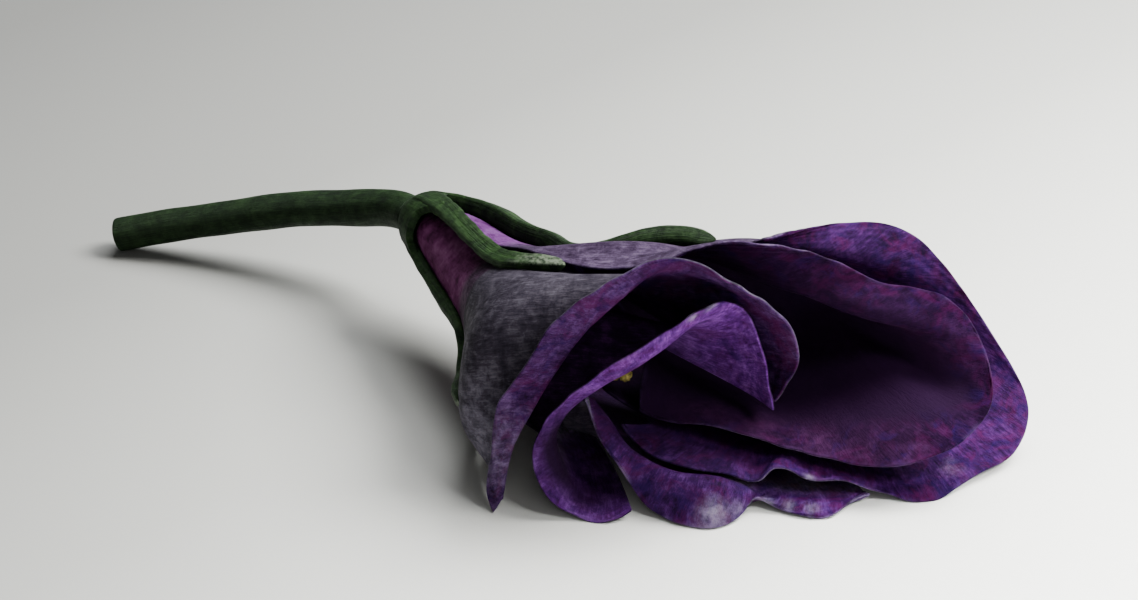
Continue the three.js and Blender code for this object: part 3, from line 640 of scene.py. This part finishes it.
# Dark, middle and light tone of each finish, and the colours laid over them, among them painted shade
# and painted highlights.
GREY_VIOLETS = ((0.010, 0.0085, 0.013), (0.030, 0.0255, 0.036), (0.082, 0.073, 0.092))
LILAC_GREYS = ((0.012, 0.0065, 0.016), (0.044, 0.028, 0.056), (0.120, 0.088, 0.145))
TONGUE_VIOLETS = ((0.022, 0.0036, 0.046), (0.088, 0.016, 0.160), (0.235, 0.078, 0.370))
BRIGHT_VIOLETS = ((0.007, 0.0012, 0.015), (0.030, 0.0055, 0.060), (0.090, 0.029, 0.150))
OUTER_VIOLETS = ((0.004, 0.0006, 0.009), (0.018, 0.0025, 0.036), (0.056, 0.012, 0.092))
MIDDLE_VIOLETS = ((0.007, 0.0014, 0.012), (0.029, 0.0078, 0.048), (0.088, 0.038, 0.125))
DEEP_VIOLETS = ((0.0022, 0.0004, 0.004), (0.0080, 0.0014, 0.013), (0.027, 0.006, 0.037))
MAGENTA_CLAW = ((0.030, 0.005, 0.023), (0.132, 0.025, 0.102), (0.215, 0.070, 0.180))
LILAC_CLAW = ((0.045, 0.009, 0.058), (0.112, 0.034, 0.140), (0.165, 0.068, 0.208))
MAGENTA_WASH = (0.055, 0.0022, 0.038)
BLUE_WASH = (0.009, 0.003, 0.052)
# Painted shade, laid round the heart of the bloom, inside the bowl and under overhanging petals.
PAINTED_SHADE_DARK = (0.0115, 0.0038, 0.0160)
# Paler rims, partly painted highlights.
RIM_LILAC_HIGHLIGHT = (0.120, 0.070, 0.200)
RIM_PALE_HIGHLIGHT = (0.300, 0.240, 0.400)
# Paler colour of the listed spots: painted highlights mixed with wear.
HIGHLIGHT_AND_WEAR_WHITE = (0.310, 0.280, 0.370)
# Painted highlight on the bowl's lip, where it faces up.
LIP_HIGHLIGHT_MAGENTA = (0.048, 0.013, 0.050)
CALYX_GREENS = ((0.002, 0.007, 0.0015), (0.0065, 0.021, 0.004), (0.020, 0.048, 0.012))
STEM_GREENS = ((0.002, 0.007, 0.0015), (0.0045, 0.015, 0.003), (0.012, 0.030, 0.008))
PALE_GREEN = (0.130, 0.155, 0.110)
POLLEN_TONES = ((0.12, 0.09, 0.015), (0.46, 0.36, 0.08))
# Painted light falloff on the paper, from its darkest place, far left, to its palest, near right.
PAPER_FALLOFF_STOPS = (0.0, 0.35, 0.6, 1.0)
PAPER_FALLOFF_TONES = ((0.19, 0.191, 0.182), (0.27, 0.271, 0.257), (0.45, 0.452, 0.428), (0.95, 0.952, 0.905))
PAPER_FIBRE = (0.3, 0.3, 0.28)


def build_petals():
    """The five petals, in the order in which they overlap.

    Each has its claw rows and blade rows, points across, steps from row to row, finish, slot, spots of
    painted shade and spots of wear and painted highlight. A spot is a centre, a reach and an amount.
    """
    hood = petal_finish("petal_grey_violet", GREY_VIOLETS, MIDDLE_VIOLETS, MAGENTA_CLAW, RIM_LILAC_HIGHLIGHT)
    tongue = petal_finish("petal_light_violet", DEEP_VIOLETS, TONGUE_VIOLETS, MAGENTA_CLAW, RIM_LILAC_HIGHLIGHT,
                          blush_most=0.4)
    floor = petal_finish("petal_violet", GREY_VIOLETS, BRIGHT_VIOLETS, MAGENTA_CLAW, RIM_PALE_HIGHLIGHT,
                         rim_highlight_share=0.3, shade=0.3)
    outer = petal_finish("petal_violet_outer", LILAC_GREYS, OUTER_VIOLETS, LILAC_CLAW, RIM_LILAC_HIGHLIGHT)
    bowl = petal_finish("petal_deep_violet", LILAC_GREYS, DEEP_VIOLETS, LILAC_CLAW, RIM_LILAC_HIGHLIGHT, shade=0.35,
                        blush_most=0.45, wear_and_highlight_colour=LIP_HIGHLIGHT_MAGENTA, gloss=0.015)
    tongue_rows = [tube_row(38, TONGUE_LOW), tube_row(50, TONGUE_MIDDLE)] + TONGUE_ROWS
    floor_rows = [tube_arc(38, 250, 330, 11.5, 15.5, 5)] + FLOOR_ROWS
    outer_rows = [tube_arc(38, 315, 410, 11.5, 13.2, 6)] + OUTER_ROWS
    bowl_rows = [tube_arc(38, 400, 459, 11.3, 13.9, 5)] + BOWL_ROWS
    hood_claw = claw_rows(172, lead_reach=(28, 37, 33))
    outer_claw = claw_rows(388, trail_reach=(0, -4, -14))
    bowl_claw = claw_rows(460, lead_reach=(-2, 0, 0), trail_reach=(-26, -25, -33))
    # Spots of painted shade round the heart of the bloom, inside the bowl and under overhanging petals,
    # and spots of painted highlight mixed with wear, mostly on lips.
    hood_painted_shade = [(THROAT, 14, 1.0)]
    hood_wear_and_highlights = [((-14, -34, 9), 8, 0.4), ((-16, -26, 18), 7, 0.08), ((2, -20.5, 31), 6, 0.2)]
    tongue_painted_shade = [(THROAT, 14, 1.0), ((-0.5, -36.5, 10), 7, 1.0), ((4.5, -39.5, 4.5), 6.5, 0.75)]
    tongue_highlights = [((21.5, -32.8, 33), 1.0, 1.2), ((18.8, -34.3, 31.8), 0.8, 0.9)]
    floor_painted_shade = [(THROAT, 17, 1.0), ((24, -37.5, 4), 5, 0.5)]
    floor_wear_and_highlights = [((22.4, -44.2, 2), 2.3, 0.65), ((26, -42.6, 2.2), 1.4, 0.35),
                  ((31, -40.6, 1.6), 1.2, 0.5), ((34.5, -41, 1.5), 1.0, 0.5),
                  ((38, -41.4, 1.3), 1.2, 0.35)]
    outer_painted_shade = [(THROAT, 15, 1.0), ((24, -32, 7), 7, 0.2), ((35, -29, 5), 8, 0.35),
                  ((48, -28, 3), 7, 0.35)]
    outer_wear_and_highlights = [((37.6, -39, 5.2), 0.9, 0.5), ((61, -31, 3), 2.4, 0.16), ((9, -12, 32), 7, 0.1),
                  ((16, -8, 30), 7, 0.1)]
    bowl_painted_shade = [((27, -12, 17), 21, 1.0), (THROAT, 15, 1.0), ((24, -22.5, 10), 5, 0.6),
                 ((34, -24, 9), 5, 0.8), ((43.6, -27, 11), 5, 0.9), ((51, -28.8, 13), 4.5, 0.9),
                 ((57, -28.5, 14), 4.5, 0.7), ((46, -18, 14), 11, 0.8), ((56, -24, 17), 7, 0.6),
                 ((62, -28, 13.5), 4, 0.5)]
    bowl_lip_highlights = [((21, -28.6, 10.7), 4, 0.5), ((30, -31.5, 9.4), 4, 0.7), ((39, -34, 8.3), 4, 0.8),
                 ((47, -36, 8), 4, 0.8), ((54, -36, 9), 3.5, 0.6), ((63, -26, 22), 4, 0.4)]
    petals = [
        ("petal_hood", hood_claw + HOOD_ROWS, 150, (5, 14, 18, 18, 20, 16), hood,
         "petal_grey_violet", hood_painted_shade, hood_wear_and_highlights),
        ("petal_tongue", claw_rows(244, 0.5) + tongue_rows, 150, (5, 12, 12, 16, 20, 16), tongue,
         "petal_light_violet", tongue_painted_shade, tongue_highlights),
        ("petal_floor", claw_rows(316) + floor_rows, 150, (5, 12, 14, 18, 16, 16, 14), floor,
         "petal_violet", floor_painted_shade, floor_wear_and_highlights),
        ("petal_outer", outer_claw + outer_rows, 210, (5, 12, 14, 20, 22, 22), outer,
         "petal_violet", outer_painted_shade, outer_wear_and_highlights),
        ("petal_bowl", bowl_claw + bowl_rows, 200, (5, 12, 14, 20, 22, 20), bowl,
         "petal_deep_violet", bowl_painted_shade, bowl_lip_highlights),
    ]
    for name, rows, across, spans, finish, slot, painted_shade_spots, wear_and_highlight_spots in petals:
        piece = petal_body(name, rows, across, spans, finish, painted_shade_spots, wear_and_highlight_spots)
        piece.name = name + "_sheet"


# ---- calyx ----
BORE_STATIONS = [[-3, 2.1, 0], [0, 4.1, 0], [2, 4.7, 0], [14, 8.05, 0], [26, 10.15, 0], [38, 13.2, 0]]
BORE_CURVE = curve_through(BORE_STATIONS, np.linspace(0, 1, 400))
SEPAL_ANGLES = np.array([48, 104, 208, 280, 342])


def bore_radius(distance):
    """Inner radius of the calyx at a distance along the axis."""
    return np.interp(distance, BORE_CURVE[:, 0], BORE_CURVE[:, 1])


def web_share(degrees):
    """From 0 at the lowest point of a web to 1 on a sepal's middle, rising steeply at its sides."""
    turn = (np.asarray(degrees)[..., None] - SEPAL_ANGLES + 180) % 360 - 180
    return np.clip(1 - np.abs(turn).min(axis=-1) / WEB_HALF_ANGLE, 0, 1) ** 1.5


# Points round the cup and from its foot to its edge, and points along and round a sepal.
CUP_SIDES = 240
CUP_STEPS = 26
SEPAL_STEPS = 140
SEPAL_SIDES = 36
# Length of a sepal's rounded ends, as a share of the whole.
SEPAL_END = 0.05
# A radius that closes a surface on its axis.
POLE = 0.01


def calyx_cup():
    """Cup round the tube: out from the stem to a scalloped front edge and back along the bore."""
    degrees = np.linspace(0, 360, CUP_SIDES, endpoint=False)[None]
    front = WEB_HEIGHT + WEB_RISE * web_share(degrees)
    share = np.linspace(0, 1, CUP_STEPS)[:, None]
    out_distance = CALYX_START + (front - CALYX_START) * share
    thin = CALYX_WALL * np.clip((1 - share) * 9, 0.25, 1)
    out_radius = bore_radius(out_distance) + thin
    back_distance = CALYX_FLOOR + (front - CALYX_FLOOR) * share[::-1][1::3]
    back_radius = bore_radius(back_distance)
    start = on_tube(CALYX_START, degrees, POLE)
    outside = on_tube(out_distance, degrees * np.ones_like(share), out_radius)
    inside = on_tube(back_distance, degrees + 0 * back_distance, back_radius)
    end = on_tube(CALYX_FLOOR, degrees, POLE)
    rings = np.concatenate([start, outside, inside, end])
    crest = np.zeros(rings.shape[:2])
    along = np.arange(len(rings))[:, None] * 0.03 + 0 * degrees
    uv = np.stack([degrees / 60 + 0 * along, along], axis=-1)
    return rings, crest, uv


def away_from_axis(points, heading):
    """Directions from the tube's axis to the points, square to their headings."""
    centre = tube_frames(np.arange(-4, 70, 0.25))[0]
    nearest = np.linalg.norm(points[:, None] - centre[None], axis=2).argmin(axis=1)
    away = points - centre[nearest]
    return unit(away - heading * (away * heading).sum(axis=1, keepdims=True))


def sepal_rib(path, widths, skirt, seed):
    """A sepal: a flat crown with rounded shoulders carried along its path, its tip rounded off.

    The crown's height follows the sine and its width the cosine of the angle round it, both raised to
    powers below one, so that the top is broad and the shoulders are tight. The skirt is how far the
    underside reaches below the path.
    """
    share = 1 - np.linspace(1, 0, SEPAL_STEPS) ** 1.3
    centre = curve_through(path, share)
    heading = unit(np.gradient(centre, axis=0))
    away = away_from_axis(centre, heading)
    sideways = np.cross(heading, away)
    angle = np.linspace(0, 2 * np.pi, SEPAL_SIDES, endpoint=False)[None]
    past_end = np.maximum(share - 1 + SEPAL_END, SEPAL_END - 0.01 - share) / SEPAL_END
    tip = np.sqrt(1 - np.clip(past_end, 0, 0.995) ** 2)[:, None]
    half = tip * (np.interp(share, *widths) / 2)[:, None]
    wobble = 1 + 0.05 * np.sin(share * 23 + seed)[:, None] + 0.03 * np.sin(share * 61 + 2 * seed)[:, None]
    crown = RIB_THICKNESS * tip * np.minimum(1, 0.3 + 1.1 * half / RIB_WIDTH) * wobble
    rise = np.sin(angle)
    spread = np.sign(np.cos(angle)) * np.abs(np.cos(angle)) ** 0.6
    keel = 1 - 0.12 * np.exp(-((np.cos(angle) / 0.45) ** 2))
    lift = np.where(rise > 0, crown * np.abs(rise) ** 0.55 * keel, skirt * tip * rise) + 0.1
    edge = 1 + 0.04 * np.sin(share * 41 + seed)[:, None] + 0.02 * np.sin(share * 97 + seed)[:, None]
    reach = half * spread * edge
    rings = centre[:, None] + sideways[:, None] * reach[..., None] + away[:, None] * lift[..., None]
    ends = np.concatenate([rings[:1].mean(axis=1, keepdims=True) + 0 * rings[:1], rings,
                           rings[-1:].mean(axis=1, keepdims=True) + 0 * rings[-1:]])
    # Paler along the crown's shoulders, and paler from wear towards the tip.
    shoulder = np.clip(rise, 0, 1) * np.abs(np.cos(angle)) ** 2
    worn_tip = np.clip((np.concatenate([[0], share, [1]])[:, None] - 0.74) / 0.2, 0, 1)
    crest = np.clip(0.4 * shoulder + worn_tip * np.clip(rise, 0, 1), 0, 1)
    along = np.linspace(0, 4, len(ends))[:, None] + 0 * angle
    uv = np.stack([angle / 3 + 0 * along, along], axis=-1)
    return ends, crest, uv


def on_bore(stations):
    """Places just outside the corolla tube, from stations of distance and angle."""
    stations = np.array(stations, float)
    return on_tube(stations[:, 0], stations[:, 1], bore_radius(stations[:, 0]) + 0.15)


# Width of a sepal at shares of its length: broad at the foot, narrowing to a blunt tip.
SEPAL_TAPER = ([0, 0.3, 0.5, 0.8, 0.9, 1.0], [4.4, 3.5, 3.3, 3.3, 3.1, 2.4])
BACK_SEPAL_TAPER = ([0, 0.3, 0.5, 0.64, 0.8, 0.9, 1.0], [4.4, 3.6, 3.0, 2.4, 3.2, 2.8, 1.8])
BACK_SEPAL = np.concatenate([
    on_bore([[-1, 56], [8, 57], [17, 60]]),
    tube_stations([[25, 58, 10.2], [31, 53, 11.9]]),
    [[-0.5, -3.9, 27.5], [4.5, -5, 27.6], [9.5, -5.8, 29.3], [14.5, -6.7, 31.1], [19, -8.2, 32.1],
     [23.6, -11, 32.6]],
])
TOP_SEPAL = np.concatenate([
    on_bore([[-1, 92], [2.5, 96], [7, 102], [15.5, 112]]),
    tube_stations([[23.5, 115, 9.8], [31.5, 114, 10.9], [37, 110, 12.4]]),
    [[-4, -17.5, 31.8], [-0.6, -19.4, 32.5]],
])
LEFT_SEPAL = np.concatenate([
    on_bore([[-1, 222], [5, 212], [14, 204]]),
    tube_stations([[22, 200, 9.45], [28, 198, 10.1], [33, 199, 11.5]]),
    [[-16.9, -15.5, 12.6], [-17.0, -21, 11.8], [-17.5, -26, 12.8], [-17.2, -30.5, 14.0]],
])
# Each sepal's path, taper and skirt.
SEPALS = [
    (BACK_SEPAL, BACK_SEPAL_TAPER, 2.2),
    (TOP_SEPAL, SEPAL_TAPER, 1.3),
    (LEFT_SEPAL, SEPAL_TAPER, 1.3),
    (on_bore([[-1, 280], [5, 280], [14, 280], [20, 280], [25, 280]]), SEPAL_TAPER, 1.2),
    (on_bore([[-1, 342], [5, 342], [14, 340], [22, 338], [28, 337]]), SEPAL_TAPER, 1.2),
]


def build_calyx(finish):
    """The cup and its five sepals, as one piece."""
    parts = [calyx_cup()]
    for k, (path, widths, skirt) in enumerate(SEPALS):
        parts.append(sepal_rib(path, widths, skirt, 1.7 * k))
    points, faces, crests, uvs = [], [], [], []
    offset = 0
    for rings, crest, uv in parts:
        rows, columns, _ = rings.shape
        points.append(rings.reshape(-1, 3))
        faces.append(grid_faces(rows, columns, offset, closed=True)[:, ::-1])
        crests.append(crest.ravel())
        uvs.append(uv.reshape(-1, 2))
        offset += rows * columns
    values = {"crest": np.concatenate(crests)}
    piece = make_piece("calyx_green", np.concatenate(points), np.concatenate(faces), "calyx", finish,
                       np.concatenate(uvs), values)


# ---- stem ----
STEM_PATH = [[-83, 44.6, 3.1], [-72.5, 43.4, 5.8], [-61.3, 41.3, 8.6], [-47.5, 37.4, 12.4],
             [-37.2, 32.8, 15.0]]
# How far the stem's last two places drop below the tube's axis, so that it comes up into the cup.
NECK_DROP = (1.3, 0.5)
# How much of the stem's radius is left at shares of its length: a soft edge at either end.
STEM_ENDS = ([0, 0.001, 0.003, 0.006, 0.01, 0.994, 0.997, 1], [0.86, 0.93, 0.975, 0.995, 1, 1, 0.98, 0.9])
STEM_STEPS = 160
STEM_SIDES = 72
# How much thicker the stem gets towards the bloom, and how worn its skin is.
STEM_SWELL = 0.08
STEM_CREST = 0.12


def build_stem(finish):
    """A round stem along its path, with faint lengthwise ridges and a cut end with a soft edge.

    Each ring's radius is the stem's own times a sine round it and a slow sine along it.
    """
    joint = tube_frames(CALYX_START - SEAT_GAP)[0][0] - np.array([0, 0, NECK_DROP[1]])
    neck = tube_frames(CALYX_START - STEM_NECK)[0][0] - np.array([0, 0, NECK_DROP[0]])
    path = np.array(STEM_PATH + [neck.tolist(), joint.tolist()])
    share = np.concatenate([STEM_ENDS[0][:4], np.linspace(0.01, 0.994, STEM_STEPS), STEM_ENDS[0][6:]])
    centre = curve_through(path, share)
    heading = unit(np.gradient(curve_through(path, np.linspace(0, 1, 400)), axis=0))
    place = share * (len(heading) - 1)
    steps = np.arange(len(heading))
    heading = np.stack([np.interp(place, steps, heading[:, k]) for k in range(3)], axis=1)
    across = unit(np.cross([0, 0, 1], heading))
    upward = np.cross(heading, across)
    angle = np.linspace(0, 2 * np.pi, STEM_SIDES, endpoint=False)[None]
    end = np.interp(share, *STEM_ENDS)
    ridges = 1 + 0.012 * np.sin(5 * angle + 0.6) + 0.006 * np.sin(13 * angle + 9 * share[:, None])
    swell = (1 + 0.012 * np.sin(17 * share) + 0.01 * np.sin(41 * share + 1))[:, None]
    swell = swell * (1 + STEM_SWELL * np.clip((share - 0.35) / 0.4, 0, 1))[:, None]
    radius = STEM_RADIUS * end[:, None] * ridges * swell * 0.985
    rings = rings_round(centre, across, upward, radius, angle)
    rings = np.concatenate([centre[:1, None] + 0 * rings[:1], rings, centre[-1:, None] + 0 * rings[:1]])
    rows, columns, _ = rings.shape
    along = np.concatenate([[-0.1], share, [1.1]])[:, None] * 7.2 + 0 * angle
    uv = np.stack([angle + 0 * along, along], axis=-1).reshape(-1, 2)
    crest = STEM_CREST * np.ones(rows * columns)
    faces = grid_faces(rows, columns, closed=True)[:, ::-1]
    piece = make_piece("stem_green", rings.reshape(-1, 3), faces, "stem", finish, uv, {"crest": crest})


# ---- stamens ----
ANTHERS = [[5.8, -21, 13.6], [7.4, -20.6, 13], [9.2, -20.8, 12.9], [8.4, -19, 14.4], [6.2, -18.6, 15]]
FILAMENT_RADIUS = 0.42
FILAMENT_STEPS = 40
FILAMENT_SIDES = 12
# Half the length and the radius of an anther, and its points from end to end and round.
ANTHER_HALF_LENGTH = 1.35
ANTHER_RADIUS = 0.85
ANTHER_STEPS = 24
ANTHER_SIDES = 32


def build_stamens(finish):
    """Thin filaments from the foot of the tube, each with a lumpy anther at its tip.

    An anther is an ellipsoid whose radius swings by products of sines of its two angles.
    """
    points, faces = [], []
    offset = 0
    for k, anther in enumerate(ANTHERS):
        degrees = 72 * k + 20
        route = np.array([on_tube(2.6, degrees, 1.2), on_tube(14, degrees, 1.6),
                          on_tube(28, degrees - 10, 2.4), anther])
        centre = curve_through(route, np.linspace(0, 1, FILAMENT_STEPS))
        heading = unit(np.gradient(centre, axis=0))
        across = unit(np.cross(heading, [0, 0, 1]))
        upward = np.cross(across, heading)
        angle = np.linspace(0, 2 * np.pi, FILAMENT_SIDES, endpoint=False)[None]
        radius = np.full((FILAMENT_STEPS, 1), FILAMENT_RADIUS)
        radius[[0, -1]] = POLE
        points.append(rings_round(centre, across, upward, radius, angle).reshape(-1, 3))
        faces.append(grid_faces(FILAMENT_STEPS, FILAMENT_SIDES, offset, closed=True))
        offset += FILAMENT_STEPS * FILAMENT_SIDES
        polar = np.linspace(0.02, np.pi - 0.02, ANTHER_STEPS)[:, None]
        turn = np.linspace(0, 2 * np.pi, ANTHER_SIDES, endpoint=False)[None]
        lumps = 1 + 0.18 * np.sin(5 * turn + 3 * polar + k) * np.sin(4 * polar + k)
        lumps = lumps + 0.1 * np.sin(9 * turn - 2 * k) * np.sin(7 * polar)
        girth = ANTHER_RADIUS * np.sin(polar)
        grain = np.stack([ANTHER_HALF_LENGTH * np.cos(polar) + 0 * turn, girth * np.cos(turn) * lumps,
                          girth * np.sin(turn) * lumps], axis=-1)
        level = 0.5 * k
        tilt = 0.3 * k - 0.5
        swing = np.array([[math.cos(level), math.sin(level), 0], [-math.sin(level), math.cos(level), 0],
                          [0, 0, 1]])
        lean = np.array([[math.cos(tilt), 0, -math.sin(tilt)], [0, 1, 0],
                         [math.sin(tilt), 0, math.cos(tilt)]])
        grain = grain @ swing @ lean + np.array(anther)
        points.append(grain.reshape(-1, 3))
        faces.append(grid_faces(ANTHER_STEPS, ANTHER_SIDES, offset, closed=True))
        offset += ANTHER_STEPS * ANTHER_SIDES
    piece = make_piece("stamens_yellow", np.concatenate(points), np.concatenate(faces), "stamens", finish)


# ---- camera, light and surface ----
VIEW_ELEVATION = 30.0
VIEW_DISTANCE = 450.0
VIEW_HEIGHT = 15.0
LENS = 85.0
SENSOR_WIDTH = 36.0


def build_camera():
    """A long lens above the front of the bloom."""
    data = bpy.data.cameras.new("front_camera")
    data.lens = LENS
    data.sensor_width = SENSOR_WIDTH
    data.clip_start = 0.01
    data.clip_end = 10
    camera = bpy.data.objects.new("front_camera", data)
    tilt = math.radians(VIEW_ELEVATION)
    aim = Vector(CENTRE_SHIFT) + Vector((0, 0, VIEW_HEIGHT))
    back = Vector((0, -math.cos(tilt), math.sin(tilt)))
    camera.location = (aim + back * VIEW_DISTANCE) * MM
    camera.rotation_euler = (-back).to_track_quat("-Z", "Y").to_euler()
    bpy.context.collection.objects.link(camera)
    bpy.context.scene.camera = camera


def soft_light(name, place, aim, size, power, colour, spread=180.0):
    """A square soft box at a place in metres, turned to its aim, its spread in degrees."""
    data = bpy.data.lights.new(name, "AREA")
    data.shape = "SQUARE"
    data.size = size
    data.energy = power
    data.color = colour
    data.spread = math.radians(spread)
    light = bpy.data.objects.new(name, data)
    light.location = place
    light.rotation_euler = (Vector(aim) - Vector(place)).to_track_quat("-Z", "Y").to_euler()
    bpy.context.collection.objects.link(light)


# The paper in metres: its front edge, where it starts to bend, the bend's radius, and its half width,
# which is the wall's height too.
PAPER_FRONT = -3.0
PAPER_BEND_START = 1.6
PAPER_BEND = 0.8
PAPER_HALF_WIDTH = 4.0
SKY_COLOUR = (0.97, 0.99, 1.0, 1.0)
SKY_POWER = 0.09


def build_surroundings():
    """Pale surface that curves up into a wall behind, and soft studio light.

    The sweep's profile is a straight floor, a quarter circle and a straight wall.
    """
    bend = np.linspace(0.1, np.pi / 2, 14)
    floor = np.linspace(PAPER_FRONT, PAPER_BEND_START, 12)
    wall = PAPER_BEND_START + PAPER_BEND
    depth = np.concatenate([floor, PAPER_BEND_START + PAPER_BEND * np.sin(bend), [wall]])
    height = np.concatenate([0 * floor, PAPER_BEND - PAPER_BEND * np.cos(bend), [PAPER_HALF_WIDTH]])
    width = np.linspace(-PAPER_HALF_WIDTH, PAPER_HALF_WIDTH, 9)
    rows = np.stack([width[None] + 0 * depth[:, None], depth[:, None] + 0 * width[None],
                     height[:, None] + 0 * width[None]], axis=-1)
    mesh = bpy.data.meshes.new("paper_sweep")
    faces = grid_faces(len(depth), len(width))[:, ::-1]
    mesh.from_pydata(rows.reshape(-1, 3).tolist(), [], faces.tolist())
    mesh.polygons.foreach_set("use_smooth", np.full(len(mesh.polygons), True))
    mesh.materials.append(backdrop_finish())
    sweep = bpy.data.objects.new("paper_sweep", mesh)
    bpy.context.collection.objects.link(sweep)
    world = bpy.data.worlds.new("studio")
    world.use_nodes = True
    sky = world.node_tree.nodes["Background"]
    sky.inputs["Color"].default_value = SKY_COLOUR
    sky.inputs["Strength"].default_value = SKY_POWER
    bpy.context.scene.world = world
    soft_light("key_light", (0.27, 0.08, 0.36), (0.06, -0.04, 0.0), 0.22, 6.8, (1.0, 1.0, 0.98))
    soft_light("back_light", (0.10, 0.26, 0.48), (0.03, -0.02, 0.02), 0.38, 4.8, (0.97, 0.98, 1.0))
    soft_light("front_light", (0.12, -0.50, 0.34), (0.03, -0.02, 0.02), 0.40, 0.6, (1.0, 1.0, 1.0))
    soft_light("floor_light", (0.34, -0.26, 0.36), (0.25, -0.18, 0.0), 0.16, 2.4, (1.0, 1.0, 1.0), 60.0)


build_camera()
build_surroundings()
build_petals()
build_calyx(green_finish("calyx_green", CALYX_GREENS))
build_stem(green_finish("stem_green", STEM_GREENS))
build_stamens(pollen_finish())
